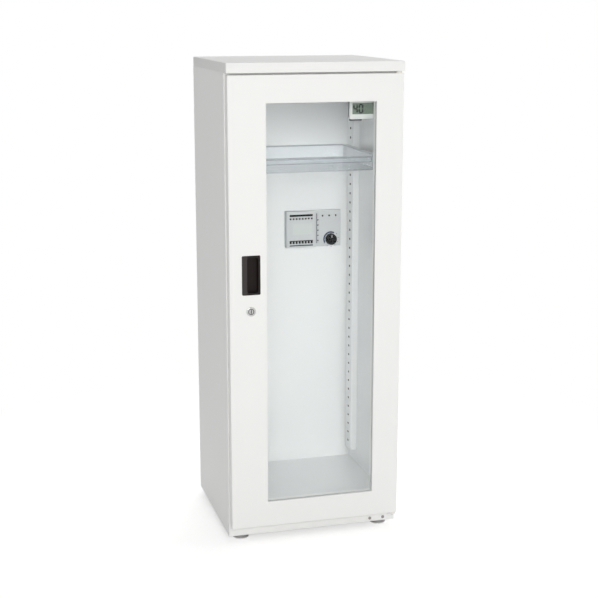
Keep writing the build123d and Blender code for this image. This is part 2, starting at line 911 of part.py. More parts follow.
# Handle cup: a moulded recess with a finger grip on its left
cup_left = handle_x + handle_rim
cup_right = handle_x + handle_width - handle_rim
cup_low = handle_z + handle_rim
cup_high = handle_z + handle_height - handle_rim
pocket_left = handle_x + handle_strip
with BuildPart() as handle_cup:
    with BuildSketch(upright(front_y - proud / 2)):
        span(
            handle_x,
            handle_x + handle_width,
            handle_z,
            handle_z + handle_height,
            corner=handle_corner,
        )
    extrude(amount=-proud / 2)
    fillet(handle_cup.faces().sort_by(Axis.Y)[0].edges(), radius=proud / 4)
    with BuildSketch(upright(front_y)):
        span(cup_left, cup_right, cup_low, cup_high)
    extrude(amount=-handle_depth)
    with BuildSketch(upright(front_y + cup_wall)):
        span(
            cup_left + cup_wall,
            cup_right - cup_wall,
            cup_low + cup_wall,
            cup_high - cup_wall,
        )
    extrude(amount=-(handle_depth - 2 * cup_wall), mode=Mode.SUBTRACT)
    with BuildSketch(upright(front_y - proud / 2)):
        span(
            pocket_left,
            cup_right - cup_wall,
            cup_low + cup_wall,
            cup_high - cup_wall,
            corner=handle_corner * 2,
        )
    extrude(amount=-(proud / 2 + cup_wall), mode=Mode.SUBTRACT)
save(handle_cup.part, "handle_cup")

# Lock: a barrel clamped in the door by a nut, and a plug that turns the cam
with BuildPart() as lock_barrel:
    with BuildSketch(upright(front_y)):
        with Locations((lock_x, lock_z)):
            Circle(barrel_radius)
    extrude(amount=-(door_thickness + barrel_nose))
    with BuildSketch(upright(front_y)):
        with Locations((lock_x, lock_z)):
            Circle(lock_flange)
    extrude(amount=proud)
    fillet(lock_barrel.faces().sort_by(Axis.Y)[0].edges(), radius=proud * 0.4)
    with BuildSketch(upright(-depth / 2)):
        with Locations((lock_x, lock_z)):
            Circle(plug_radius + turn_gap)
    extrude(amount=-(proud + door_thickness + barrel_nose), mode=Mode.SUBTRACT)
save(lock_barrel.part, "lock_barrel")

with BuildPart() as lock_nut:
    with BuildSketch(upright(door_back_y)):
        with Locations((lock_x, lock_z)):
            RegularPolygon(nut_flat, 6, major_radius=False)
            Circle(barrel_radius, mode=Mode.SUBTRACT)
    extrude(amount=-nut_thickness)
save(lock_nut.part, "lock_nut")

cam_front_y = body_front_y + cam_setback
cam_back_y = cam_front_y + cam_thickness
plug_front_y = front_y - proud + rest_gap
with BuildPart() as lock_plug:
    with BuildSketch(upright(plug_front_y)):
        with Locations((lock_x, lock_z)):
            Circle(plug_radius)
    extrude(amount=plug_front_y - cam_front_y)
    with BuildSketch(upright(cam_front_y)):
        with Locations((lock_x, lock_z)):
            Circle(cam_neck)
    extrude(amount=-cam_thickness)
    with BuildSketch(upright(plug_front_y)):
        with Locations((lock_x, lock_z)):
            Rectangle(key_slot, plug_radius * 1.3)
    extrude(amount=-plug_radius, mode=Mode.SUBTRACT)
save(lock_plug.part, "lock_plug")

with BuildPart() as lock_cam:
    with BuildSketch(upright(cam_front_y)):
        with Locations((lock_x, lock_z)):
            Circle(cam_width / 2)
        span(
            lock_x - cam_width / 2,
            lock_x + cam_width / 2,
            lock_z,
            lock_z + cam_reach,
        )
        with Locations((lock_x, lock_z)):
            Circle(cam_neck, mode=Mode.SUBTRACT)
    extrude(amount=-cam_thickness)
    tip_edges = lock_cam.edges().filter_by(Axis.Y).group_by(Axis.Z)[-1]
    fillet(tip_edges, radius=cam_width / 4)
save(lock_cam.part, "lock_cam")

with BuildPart() as cam_screw:
    with BuildSketch(upright(cam_back_y)):
        with Locations((lock_x, lock_z)):
            Circle(cam_head)
    extrude(amount=-proud)
    fillet(cam_screw.faces().sort_by(Axis.Y)[-1].edges(), radius=proud * 0.6)
save(cam_screw.part, "cam_screw")

# Hygrometer: a light case with a display, a dark back and a hanger from the ceiling
meter_x = side_x - meter_right - meter_width
meter_z = ceiling_z - meter_drop - meter_height
meter_front_y = body_front_y + meter_setback
meter_rear_y = meter_front_y + meter_case
display_x = meter_x + display_left
display_z = meter_z + display_bottom
with BuildPart() as hygrometer_case:
    with BuildSketch(upright(meter_front_y)):
        span(meter_x, meter_x + meter_width, meter_z, meter_z + meter_height, corner=meter_corner)
    extrude(amount=-meter_case)
    fillet(hygrometer_case.faces().sort_by(Axis.Y)[0].edges(), radius=meter_wall * 0.8)
    offset(amount=-meter_wall, openings=hygrometer_case.faces().sort_by(Axis.Y)[-1])
    with BuildSketch(upright(meter_front_y)):
        span(
            display_x,
            display_x + display_width,
            display_z,
            display_z + display_height,
        )
    extrude(amount=-meter_wall, mode=Mode.SUBTRACT)
save(hygrometer_case.part, "hygrometer_case")

with BuildPart() as hygrometer_display:
    with BuildSketch(upright(meter_front_y + meter_wall / 2)):
        span(
            display_x,
            display_x + display_width,
            display_z,
            display_z + display_height,
        )
    extrude(amount=-display_thickness)
save(hygrometer_display.part, "hygrometer_display")

with BuildPart() as hygrometer_back:
    with BuildSketch(upright(meter_rear_y)):
        span(
            meter_x + meter_wall,
            meter_x + meter_width - meter_wall,
            meter_z + meter_wall,
            meter_z + meter_height - meter_wall,
            corner=meter_corner,
        )
    extrude(amount=-meter_back)
    fillet(hygrometer_back.faces().sort_by(Axis.Y)[-1].edges(), radius=meter_wall)
    with BuildSketch(upright(meter_rear_y)):
        span(
            meter_x,
            meter_x + meter_width,
            meter_z,
            meter_z + meter_height,
            corner=meter_corner,
        )
    extrude(amount=-meter_wall / 2)
save(hygrometer_back.part, "hygrometer_back")

hanger_y = meter_rear_y + meter_back
hanger_x = meter_x + (meter_width - hanger_width) / 2
with BuildPart() as hygrometer_hanger:
    with BuildSketch(sideways(hanger_x)):
        with BuildLine():
            FilletPolyline(
                (hanger_y, meter_z + meter_height / 3),
                (hanger_y, ceiling_z),
                (hanger_y + hanger_foot, ceiling_z),
                radius=bend,
            )
            offset(amount=sheet, side=Side.RIGHT)
        make_face()
    extrude(amount=hanger_width)
save(hygrometer_hanger.part, "hygrometer_hanger")

# Drying unit housing: a partition in the cabinet and a tub through the back wall
pack_x = unit_x + vent_width / 2
pack_z = unit_z + unit_height / 2
with BuildPart() as unit_housing:
    with BuildSketch(upright(partition_y)):
        span(unit_x, unit_right_x, unit_z, unit_top_z)
        with Locations((pack_x, pack_z)):
            Rectangle(pack_width, pack_height, mode=Mode.SUBTRACT)
    extrude(amount=-unit_wall)
    with BuildSketch(upright(inner_rear_y)):
        span(tub_left_x, tub_right_x, tub_bottom_z, tub_top_z)
        span(
            tub_left_x + unit_wall,
            tub_right_x - unit_wall,
            tub_bottom_z + unit_wall,
            tub_top_z - unit_wall,
            mode=Mode.SUBTRACT,
        )
    extrude(amount=-back_wall)
save(unit_housing.part, "unit_housing")

# Vent box: a moulded shell whose face is pierced by four kinds of vent
vent_mid_x = unit_x + vent_width / 2
with BuildPart() as vent_box:
    with BuildSketch(upright(vent_front_y)):
        span(unit_x, vent_right_x, unit_z, unit_top_z)
    extrude(amount=-(partition_y - vent_front_y))
    fillet(vent_box.faces().sort_by(Axis.Y)[0].edges(), radius=unit_wall * 0.6)
    offset(amount=-unit_wall, openings=vent_box.faces().sort_by(Axis.Y)[-1])
    with BuildSketch(upright(vent_front_y)):
        with Locations((vent_mid_x, unit_top_z - long_slot_drop)):
            Rectangle(vent_count * vent_pitch - vent_wide / 2, long_slot_tall)
        with Locations((vent_mid_x, unit_top_z - small_vent_drop)):
            with GridLocations(vent_pitch, 0, vent_count, 1):
                Rectangle(small_vent, small_vent)
        with Locations((vent_mid_x, unit_z + comb_rise)):
            with GridLocations(vent_pitch, 0, vent_count, 1):
                Rectangle(vent_wide, comb_tall)
        with Locations((vent_mid_x, unit_z + bead_rise)):
            with GridLocations(vent_pitch, 0, vent_count, 1):
                Rectangle(vent_wide, bead_tall)
    extrude(amount=-unit_wall, mode=Mode.SUBTRACT)
save(vent_box.part, "vent_box")

# Control panel: a lower shell beside it with lamps, a column of holes and the dial
knob_x = unit_x + dial_x
knob_z = unit_z + dial_z
lamp_spots = [
    (unit_x + lamp_left + index * lamp_pitch, unit_z + lamp_height) for index in range(3)
]
dot_spots = [
    (vent_right_x + dot_inset, unit_z + dot_bottom + index * dot_pitch)
    for index in range(dot_count)
]
with BuildPart() as control_panel:
    with BuildSketch(upright(panel_front_y)):
        span(vent_right_x, unit_right_x, unit_z, unit_top_z)
    extrude(amount=-(partition_y - panel_front_y))
    fillet(control_panel.faces().sort_by(Axis.Y)[0].edges(), radius=unit_wall * 0.6)
    offset(amount=-unit_wall, openings=control_panel.faces().sort_by(Axis.Y)[-1])
    with BuildSketch(upright(panel_front_y)):
        with Locations(*lamp_spots):
            Circle(lamp_radius)
        with Locations(*dot_spots):
            Circle(dot_radius)
        with Locations((knob_x, knob_z)):
            Circle(shaft_radius + turn_gap)
    extrude(amount=-unit_wall, mode=Mode.SUBTRACT)
save(control_panel.part, "control_panel")

# Dial scale: an arc printed on a thin raised band from eight o'clock to one o'clock
with BuildPart() as dial_scale:
    with BuildSketch(upright(panel_front_y)):
        with BuildLine():
            outer = CenterArc((knob_x, knob_z), scale_outer, scale_start, scale_sweep)
            inner = CenterArc((knob_x, knob_z), scale_inner, scale_start, scale_sweep)
            Line(outer @ 0, inner @ 0)
            Line(outer @ 1, inner @ 1)
        make_face()
    extrude(amount=scale_thickness)
save(dial_scale.part, "dial_scale")

# Dial knob with its shaft
knob_back_y = panel_front_y - rest_gap
board_front_y = partition_y - board_thickness
control_front_y = panel_front_y + unit_wall + rest_gap
with BuildPart() as dial_knob:
    with BuildSketch(upright(knob_back_y)):
        with Locations((knob_x, knob_z)):
            Circle(knob_radius)
    extrude(amount=knob_depth, taper=knob_draft)
    fillet(dial_knob.faces().sort_by(Axis.Y)[0].edges(), radius=knob_round)
    with BuildSketch(upright(knob_back_y)):
        with Locations((knob_x, knob_z)):
            with PolarLocations(knob_radius + flute_radius / 3, flute_count):
                Circle(flute_radius)
    extrude(amount=knob_depth, mode=Mode.SUBTRACT)
    with BuildSketch(upright(knob_back_y)):
        with Locations((knob_x, knob_z)):
            Circle(shaft_radius)
    extrude(amount=-(board_front_y - knob_back_y - rest_gap))
save(dial_knob.part, "dial_knob")

with BuildPart() as indicator_lamps:
    with BuildSketch(upright(board_front_y)):
        with Locations(*lamp_spots):
            Circle(lamp_radius)
    extrude(amount=board_front_y - panel_front_y + lamp_radius / 2)
    fillet(indicator_lamps.faces().group_by(Axis.Y)[0].edges(), radius=lamp_radius * 0.45)
save(indicator_lamps.part, "indicator_lamps")

# Circuit board with the dial's control soldered on it
with BuildPart() as circuit_board:
    with BuildSketch(upright(board_front_y)):
        span(
            vent_right_x + unit_wall * 2,
            unit_right_x - unit_wall * 2,
            unit_z + unit_wall * 2,
            unit_top_z - unit_wall * 2,
        )
    extrude(amount=-board_thickness)
    with BuildSketch(upright(control_front_y)):
        with Locations((knob_x, knob_z)):
            Circle(control_radius)
            Circle(shaft_radius + turn_gap, mode=Mode.SUBTRACT)
    extrude(amount=control_front_y - board_front_y)
save(circuit_board.part, "circuit_board")

# Desiccant pack, and the shutter rod that slides through it
pack_front_y = inner_rear_y - pack_lead - unit_wall
rod_front_y = vent_front_y + unit_wall + rest_gap + shutter_travel + sheet
rod_rear_y = rear_y - rest_gap - sheet
with BuildPart() as desiccant_pack:
    with BuildSketch(upright(pack_front_y)):
        with Locations((pack_x, pack_z)):
            Rectangle(pack_width, pack_height)
            Circle(shaft_radius + turn_gap, mode=Mode.SUBTRACT)
    extrude(amount=-pack_depth)
save(desiccant_pack.part, "desiccant_pack")

with BuildPart() as shutter_rod:
    with BuildSketch(upright(rod_front_y)):
        with Locations((pack_x, pack_z)):
            Circle(shaft_radius)
    extrude(amount=rod_front_y - rod_rear_y)
save(shutter_rod.part, "shutter_rod")

with BuildPart() as shutter_plates:
    for plate_y in (rod_front_y - sheet, rod_rear_y):
        with BuildSketch(upright(plate_y)):
            with Locations((pack_x, pack_z)):
                Rectangle(plate_width, plate_height)
        extrude(amount=-sheet)
save(shutter_plates.part, "shutter_plates")

# Rear vent cover and cord grommet
with BuildPart() as rear_vent_cover:
    with BuildSketch(upright(rear_y)):
        margin = unit_wall * 2
        span(
            tub_left_x - margin,
            tub_right_x + margin,
            tub_bottom_z - margin,
            tub_top_z + margin,
            corner=margin,
        )
        with Locations(((tub_left_x + tub_right_x) / 2, pack_z)):
            with GridLocations(0, louvre_pitch, 1, louvre_count):
                Rectangle(louvre_wide, louvre_tall, mode=Mode.SUBTRACT)
    extrude(amount=-proud)
save(rear_vent_cover.part, "rear_vent_cover")

with BuildPart() as cord_grommet:
    for lip_y, length, radius in (
        (rear_y, -proud, grommet_hole + grommet_wall + grommet_lip),
        (back_seat_y, -sheet, grommet_hole + grommet_wall),
        (back_seat_y, proud, grommet_hole + grommet_wall + grommet_lip),
    ):
        with BuildSketch(upright(lip_y)):
            with Locations((grommet_x, grommet_z)):
                Circle(radius)
                Circle(grommet_hole, mode=Mode.SUBTRACT)
        extrude(amount=length)
save(cord_grommet.part, "cord_grommet")
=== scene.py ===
# %% [markdown]
# # A dry storage cabinet in Blender
# The cabinet stands in a photo studio: a tall steel body under white powder coat, a door
# with a big glass window, a clear tray, a small humidity meter and a drying unit in the
# back wall. Its solids come from CAD in one fixed frame, so this lesson is about three
# things: finishes made of nodes, the small parts that CAD leaves plain, and light.

# %% Load the CAD frame
import json
import math

import bmesh
import bpy
from mathutils import Matrix, Vector

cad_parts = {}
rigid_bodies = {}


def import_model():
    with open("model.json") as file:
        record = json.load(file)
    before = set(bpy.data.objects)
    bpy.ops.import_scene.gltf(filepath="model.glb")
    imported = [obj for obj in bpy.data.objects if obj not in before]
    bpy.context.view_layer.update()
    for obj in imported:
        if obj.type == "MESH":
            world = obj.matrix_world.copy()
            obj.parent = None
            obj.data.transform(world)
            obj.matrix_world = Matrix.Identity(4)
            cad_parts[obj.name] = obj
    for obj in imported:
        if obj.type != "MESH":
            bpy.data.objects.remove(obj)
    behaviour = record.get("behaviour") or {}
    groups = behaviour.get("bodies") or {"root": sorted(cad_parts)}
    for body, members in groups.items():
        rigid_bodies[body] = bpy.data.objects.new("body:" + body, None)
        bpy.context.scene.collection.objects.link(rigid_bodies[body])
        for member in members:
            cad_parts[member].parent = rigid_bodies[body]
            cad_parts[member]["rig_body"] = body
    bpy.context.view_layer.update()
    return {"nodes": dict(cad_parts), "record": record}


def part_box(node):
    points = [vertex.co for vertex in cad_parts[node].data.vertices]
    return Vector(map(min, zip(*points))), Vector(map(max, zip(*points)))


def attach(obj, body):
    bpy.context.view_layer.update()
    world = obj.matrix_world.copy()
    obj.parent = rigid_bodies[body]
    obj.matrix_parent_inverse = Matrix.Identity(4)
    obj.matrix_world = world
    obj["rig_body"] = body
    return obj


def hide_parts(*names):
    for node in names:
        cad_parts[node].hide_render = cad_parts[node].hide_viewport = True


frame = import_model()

nodes = frame["nodes"]
slot_of = {part["node"]: part["material_slot"] for part in frame["record"]["subparts"]}
MM = 0.001

# %% [markdown]
# Every finish below is a node tree, and typing trees by hand gets long. Three short
# helpers keep each material readable: one adds a node and sets its sockets by name, one
# joins two sockets, and one turns a colour seen on a screen into the linear numbers that
# a shader wants.

# %% Helpers for node trees


def linear(red, green, blue):
    """A screen colour of 0 to 255 as the linear colour that a shader socket takes."""
    made = []
    for value in (red, green, blue):
        share = value / 255
        made.append(share / 12.92 if share <= 0.04045 else ((share + 0.055) / 1.055) ** 2.4)
    return (*made, 1.0)


def add_node(tree, kind, settings=None, **sockets):
    """A new node with its settings, and its sockets set by name, with _ for a space."""
    node = tree.nodes.new(kind)
    for name, value in (settings or {}).items():
        setattr(node, name, value)
    for name, value in sockets.items():
        node.inputs[name.replace("_", " ")].default_value = value
    return node


def join(tree, start, end):
    """A link from one socket to another."""
    tree.links.new(start, end)


print("a mid grey in linear light:", [round(v, 3) for v in linear(128, 128, 128)])

# %% [markdown]
# Effects that several finishes share become shader node groups with named inputs. The
# first is the skin of powder coat: the powder melts into fine shallow waves, called
# orange peel, and its gloss is never quite even. A real sheet also shades very slightly
# over its length. A bump could come from an image, but noise on Object coordinates has no
# seams and needs no file.

# %% A node group for the texture of a coated or moulded surface


def new_group(name, inputs, outputs):
    """An empty shader node group with float inputs and the outputs that are named."""
    group = bpy.data.node_groups.new(name, "ShaderNodeTree")
    for label, value in inputs.items():
        kind = "NodeSocketFloat"
        socket = group.interface.new_socket(label, in_out="INPUT", socket_type=kind)
        socket.default_value = value
    for label in outputs:
        kind = "NodeSocketVector" if label == "Normal" else "NodeSocketFloat"
        group.interface.new_socket(label, in_out="OUTPUT", socket_type=kind)
    start = group.nodes.new("NodeGroupInput")
    end = group.nodes.new("NodeGroupOutput")
    return group, start, end


def arithmetic(tree, operation, first, second):
    """A Math node on two values, each a socket or a number."""
    node = add_node(tree, "ShaderNodeMath", {"operation": operation})
    for index, value in enumerate((first, second)):
        if isinstance(value, (int, float)):
            node.inputs[index].default_value = value
        else:
            join(tree, value, node.inputs[index])
    return node.outputs[0]


def noise(tree, vector, scale, detail=2.0, roughness=0.5):
    """A noise texture on a vector. The scale is a number or a socket."""
    node = add_node(tree, "ShaderNodeTexNoise", Detail=detail, Roughness=roughness)
    join(tree, vector, node.inputs["Vector"])
    if isinstance(scale, (int, float)):
        node.inputs["Scale"].default_value = scale
    else:
        join(tree, scale, node.inputs["Scale"])
    return node.outputs["Fac"]


SMEAR_SCALE = 38.0
skin, skin_in, skin_out = new_group(
    "Surface skin",
    {"Grain Scale": 900.0, "Cloud Scale": 5.0, "Shade Spread": 0.02, "Gloss Spread": 0.08},
    ["Shade", "Gloss", "Height"],
)
place = add_node(skin, "ShaderNodeTexCoord").outputs["Object"]
grain = noise(skin, place, skin_in.outputs["Grain Scale"], detail=3.0)
cloud = noise(skin, place, skin_in.outputs["Cloud Scale"], detail=4.0, roughness=0.6)
offset_cloud = arithmetic(skin, "SUBTRACT", cloud, 0.5)
shade = arithmetic(skin, "MULTIPLY", offset_cloud, skin_in.outputs["Shade Spread"])
join(skin, arithmetic(skin, "ADD", shade, 1.0), skin_out.inputs["Shade"])
smear = noise(skin, place, SMEAR_SCALE, detail=5.0, roughness=0.65)
mottle = arithmetic(skin, "ADD", smear, offset_cloud)
gloss = arithmetic(skin, "MULTIPLY", mottle, skin_in.outputs["Gloss Spread"])
join(skin, gloss, skin_out.inputs["Gloss"])
join(skin, grain, skin_out.inputs["Height"])
print("group made:", skin.name)

# %% [markdown]
# The second group draws out the grain of rolled, turned or drawn metal. Stretching noise
# along one axis gives streaks, which is cheaper and steadier than anisotropic shading.

# %% A node group for the streaks of worked metal
TARNISH_SCALE = 60.0
streaks, streaks_in, streaks_out = new_group(
    "Worked metal",
    {"Fine Scale": 2600.0, "Stretch": 24.0, "Gloss Spread": 0.12},
    ["Shade", "Gloss", "Height"],
)
place = add_node(streaks, "ShaderNodeTexCoord").outputs["Object"]
split = add_node(streaks, "ShaderNodeSeparateXYZ")
join(streaks, place, split.inputs[0])
squeezed = arithmetic(streaks, "DIVIDE", split.outputs["X"], streaks_in.outputs["Stretch"])
drawn = add_node(streaks, "ShaderNodeCombineXYZ")
join(streaks, squeezed, drawn.inputs["X"])
join(streaks, split.outputs["Y"], drawn.inputs["Y"])
join(streaks, split.outputs["Z"], drawn.inputs["Z"])
lines = noise(streaks, drawn.outputs[0], streaks_in.outputs["Fine Scale"], detail=2.0)
tarnish = noise(streaks, place, TARNISH_SCALE, detail=4.0, roughness=0.6)
both = arithmetic(streaks, "ADD", lines, tarnish)
join(streaks, tarnish, streaks_out.inputs["Shade"])
spread = arithmetic(streaks, "MULTIPLY", both, streaks_in.outputs["Gloss Spread"])
join(streaks, spread, streaks_out.inputs["Gloss"])
join(streaks, lines, streaks_out.inputs["Height"])
print("group made:", streaks.name)

# %% [markdown]
# The third group finds edges. On a real part an edge is never a knife: it is rounded a
# few tenths of a millimetre, and it catches light and wear. Cycles' Bevel node rounds the
# normal without new geometry, and how far the rounded normal leans from the flat one says
# where the edges are.

# %% A node group for rounded, lightly worn edges
EDGE_GAIN = 6.0
edges, edges_in, edges_out = new_group("Soft edge", {"Radius": 0.0006}, ["Edge", "Normal"])
rounded = add_node(edges, "ShaderNodeBevel", {"samples": 6})
join(edges, edges_in.outputs["Radius"], rounded.inputs["Radius"])
flat = add_node(edges, "ShaderNodeNewGeometry").outputs["Normal"]
lean = add_node(edges, "ShaderNodeVectorMath", {"operation": "DOT_PRODUCT"})
join(edges, rounded.outputs["Normal"], lean.inputs[0])
join(edges, flat, lean.inputs[1])
away = arithmetic(edges, "SUBTRACT", 1.0, lean.outputs["Value"])
sharpened = arithmetic(edges, "MULTIPLY", away, EDGE_GAIN)
join(edges, arithmetic(edges, "MINIMUM", sharpened, 1.0), edges_out.inputs["Edge"])
join(edges, rounded.outputs["Normal"], edges_out.inputs["Normal"])
print("group made:", edges.name)

# %% [markdown]
# Now a maker of finishes. The Principled shader stays in the material itself, and the
# groups feed only its colour, roughness and bump. One function serves paint, plastic and
# metal alike, because they differ only in their numbers. Colours are given as a screen
# shows them, and edges in millimetres.

# %% A function that mixes a finish from the groups
finishes = {}


def finish(name, colour, edge_colour, texture, roughness, bump, edge=0.5, metallic=0.0, **more):
    """A material from a texture group and the soft edge group."""
    group, settings = texture
    material = bpy.data.materials.new(name)
    material.use_nodes = True
    tree = material.node_tree
    shader = tree.nodes["Principled BSDF"]
    shader.inputs["Metallic"].default_value = metallic
    for label, value in more.items():
        shader.inputs[label.replace("_", " ")].default_value = value
    skin_node = add_node(tree, "ShaderNodeGroup", {"node_tree": group}, **settings)
    edge_node = add_node(tree, "ShaderNodeGroup", {"node_tree": edges}, Radius=edge * MM)
    # the edge colour is edge wear on most finishes, and a painted reflection on the chrome ones
    edge_wear_and_reflection = add_node(tree, "ShaderNodeMix", {"data_type": "RGBA"})
    edge_wear_and_reflection.inputs["A"].default_value = linear(*colour)
    edge_wear_and_reflection.inputs["B"].default_value = linear(*edge_colour)
    join(tree, edge_node.outputs["Edge"], edge_wear_and_reflection.inputs["Factor"])
    shaded = add_node(tree, "ShaderNodeVectorMath", {"operation": "SCALE"})
    join(tree, edge_wear_and_reflection.outputs["Result"], shaded.inputs[0])
    join(tree, skin_node.outputs["Shade"], shaded.inputs["Scale"])
    join(tree, shaded.outputs[0], shader.inputs["Base Color"])
    rough = arithmetic(tree, "ADD", skin_node.outputs["Gloss"], roughness)
    join(tree, rough, shader.inputs["Roughness"])
    relief = add_node(tree, "ShaderNodeBump", Strength=bump[0], Distance=bump[1] * MM)
    join(tree, skin_node.outputs["Height"], relief.inputs["Height"])
    join(tree, edge_node.outputs["Normal"], relief.inputs["Normal"])
    join(tree, relief.outputs["Normal"], shader.inputs["Normal"])
    material.diffuse_color = linear(*colour)
    finishes[name] = material
    return material


def coat(grain=900.0, shade=0.02, gloss=0.08):
    """The skin group with its grain, and how far its shade and gloss wander."""
    return skin, {"Grain Scale": grain, "Shade Spread": shade, "Gloss Spread": gloss}


print("the numbers of a plain coat:", coat()[1])

# %% [markdown]
# Painted sheet metal. The body is a white powder coat with a satin gloss, and the inside
# is the same paint with more gloss and a clear coat. The cover has the duller coat of a
# worktop: seen almost edge on, a glossy one would mirror the backdrop.

# %% Paint finishes


def paint(name, colour, edge_colour, shade, roughness, **more):
    """A powder coat with its orange peel."""
    peel = coat(grain=1100.0, shade=shade, gloss=0.10)
    finish(name, colour, edge_colour, peel, roughness, bump=(0.10, 0.05), edge=0.8, **more)


paint("body_white", (246, 246, 245), (251, 251, 250), 0.012, 0.40, Specular_IOR_Level=0.2)
paint("cover_white", (246, 246, 245), (251, 251, 250), 0.012, 0.55, Specular_IOR_Level=0.02)
paint(
    "liner_white", (245, 246, 247), (250, 251, 252), 0.015, 0.30, Coat_Weight=0.5,
    Coat_Roughness=0.15,
)
print("paint:", list(finishes))

# %% [markdown]
# Metals. The brackets and pins are zinc plated, a dull grey that mottles. The lock and
# the feet are chrome plated and nearly a mirror, so their look comes from the studio
# around them, and their rims get a dark edge colour, widest on the lock, which is a
# painted reflection. Screws are darker and rougher.

# %% Metal finishes
TARNISH_SPREAD = 0.25
DARKEST_TONE = 0.87


def worked(stretch=24.0, gloss=0.12):
    """The worked metal group with the length of its streaks and the spread of its gloss."""
    return streaks, {"Stretch": stretch, "Gloss Spread": gloss}


def metal(name, colour, edge_colour, texture, roughness, bump, edge=0.3):
    """A metal whose shade runs from its dark to its bright tone with the tarnish."""
    made = finish(name, colour, edge_colour, texture, roughness, bump, edge, metallic=1.0)
    tree = made.node_tree
    scale_node = next(n for n in tree.nodes if n.type == "VECT_MATH")
    shade_link = scale_node.inputs["Scale"].links[0]
    source = shade_link.from_socket
    tree.links.remove(shade_link)
    lifted = arithmetic(tree, "MULTIPLY_ADD", source, TARNISH_SPREAD)
    lifted.node.inputs[2].default_value = DARKEST_TONE
    join(tree, lifted, scale_node.inputs["Scale"])


metal("zinc_steel", (196, 197, 198), (222, 222, 222), worked(), 0.26, (0.12, 0.03))
# the dark edge colours of the two chromes are a painted reflection on their rims
metal("chrome", (222, 221, 221), (120, 118, 118), worked(8.0, 0.05), 0.14, (0.04, 0.02), 0.7)
metal("lock_chrome", (206, 205, 204), (48, 45, 44), worked(8.0, 0.05), 0.10, (0.04, 0.02), 1.6)
metal("screw_steel", (150, 148, 146), (205, 203, 200), worked(4.0), 0.30, (0.1, 0.02))
print("metal:", list(finishes)[-4:])

# %% [markdown]
# Plastics and rubber. Moulded parts take the fine spark-eroded grain of their mould, so
# they get a coarser bump than paint and a duller gloss. The lamps' lenses are smoother.

# %% Plastic and rubber finishes
finish(
    "black_plastic", (15, 10, 8), (92, 88, 86), coat(1500.0, 0.10, 0.14),
    roughness=0.42, bump=(0.16, 0.06), edge=0.5, Specular_IOR_Level=0.15,
)
finish(
    "knob_black", (8, 9, 13), (46, 48, 56), coat(1500.0, 0.10, 0.14),
    roughness=0.42, bump=(0.16, 0.06), edge=0.3, Specular_IOR_Level=0.1,
)
finish(
    "cup_black", (62, 58, 57), (96, 92, 90), coat(1500.0, 0.10, 0.14),
    roughness=0.42, bump=(0.16, 0.06), edge=0.5, Specular_IOR_Level=0.15,
)
finish(
    "dark_plastic", (26, 27, 31), (92, 94, 100), coat(1500.0, 0.08, 0.14),
    roughness=0.46, bump=(0.2, 0.06), edge=0.4, Specular_IOR_Level=0.2,
)
finish(
    "meter_grey", (66, 68, 74), (104, 106, 112), coat(1500.0, 0.08, 0.14),
    roughness=0.46, bump=(0.2, 0.06), edge=0.4, Specular_IOR_Level=0.2,
)
finish(
    "light_plastic", (228, 228, 225), (240, 240, 238), coat(1600.0, 0.02, 0.12),
    roughness=0.36, bump=(0.12, 0.05), edge=0.5,
)
finish(
    "case_grey", (202, 204, 203), (220, 221, 220), coat(1600.0, 0.02, 0.12),
    roughness=0.36, bump=(0.12, 0.05), edge=0.5,
)
finish(
    "unit_grey", (208, 210, 212), (222, 223, 224), coat(1600.0, 0.03, 0.12),
    roughness=0.38, bump=(0.14, 0.05), edge=0.5,
)
finish(
    "seal_rubber", (232, 233, 233), (238, 239, 239), coat(2400.0, 0.06, 0.12),
    roughness=0.62, bump=(0.3, 0.08), edge=0.4,
)
finish(
    "dark_rubber", (38, 38, 39), (58, 58, 58), coat(2400.0, 0.10, 0.12),
    roughness=0.64, bump=(0.3, 0.08), edge=0.4,
)
finish(
    "nylon", (232, 230, 222), (240, 239, 233), coat(2000.0, 0.03, 0.12),
    roughness=0.42, bump=(0.1, 0.04), edge=0.3, Subsurface_Weight=0.1, Subsurface_Scale=0.002,
)
finish(
    "scale_blue", (22, 44, 84), (36, 60, 104), coat(3000.0, 0.10, 0.1),
    roughness=0.34, bump=(0.05, 0.02), edge=0.2,
)
finish(
    "lamp_dark", (14, 15, 18), (40, 42, 46), coat(3000.0, 0.08, 0.06),
    roughness=0.16, bump=(0.02, 0.02), edge=0.2, Specular_IOR_Level=0.3,
)
finish(
    "board_green", (28, 92, 58), (96, 120, 70), coat(700.0, 0.20, 0.10),
    roughness=0.30, bump=(0.2, 0.05), edge=0.2,
)
finish(
    "desiccant", (224, 219, 206), (232, 228, 218), coat(520.0, 0.18, 0.10),
    roughness=0.80, bump=(0.8, 0.4), edge=0.4,
)
print("plastic, rubber and small parts:", len(finishes), "finishes in all")

# %% [markdown]
# The handle is a pocket, and little light gets into a pocket, so its shade is painted
# into its colour. Two ramps on Object coordinates dim its colour, one from the front to
# the bottom, and one that leaves the grip on its left lighter than the rest.

# %% Painted shade in the pocket of the handle
CUP_FRONT_Y = -0.1975
CUP_DARK_Y = -0.1945
CUP_STRIP_X = -0.1735
CUP_SHADE = (0.22, 0.15, 0.12, 1.0)


def ramp(tree, value, low, high, start=0.0, end=1.0):
    """A value that runs from start to end while the one given runs from low to high."""
    node = add_node(
        tree, "ShaderNodeMapRange", From_Min=low, From_Max=high, To_Min=start, To_Max=end
    )
    join(tree, value, node.inputs["Value"])
    return node.outputs["Result"]


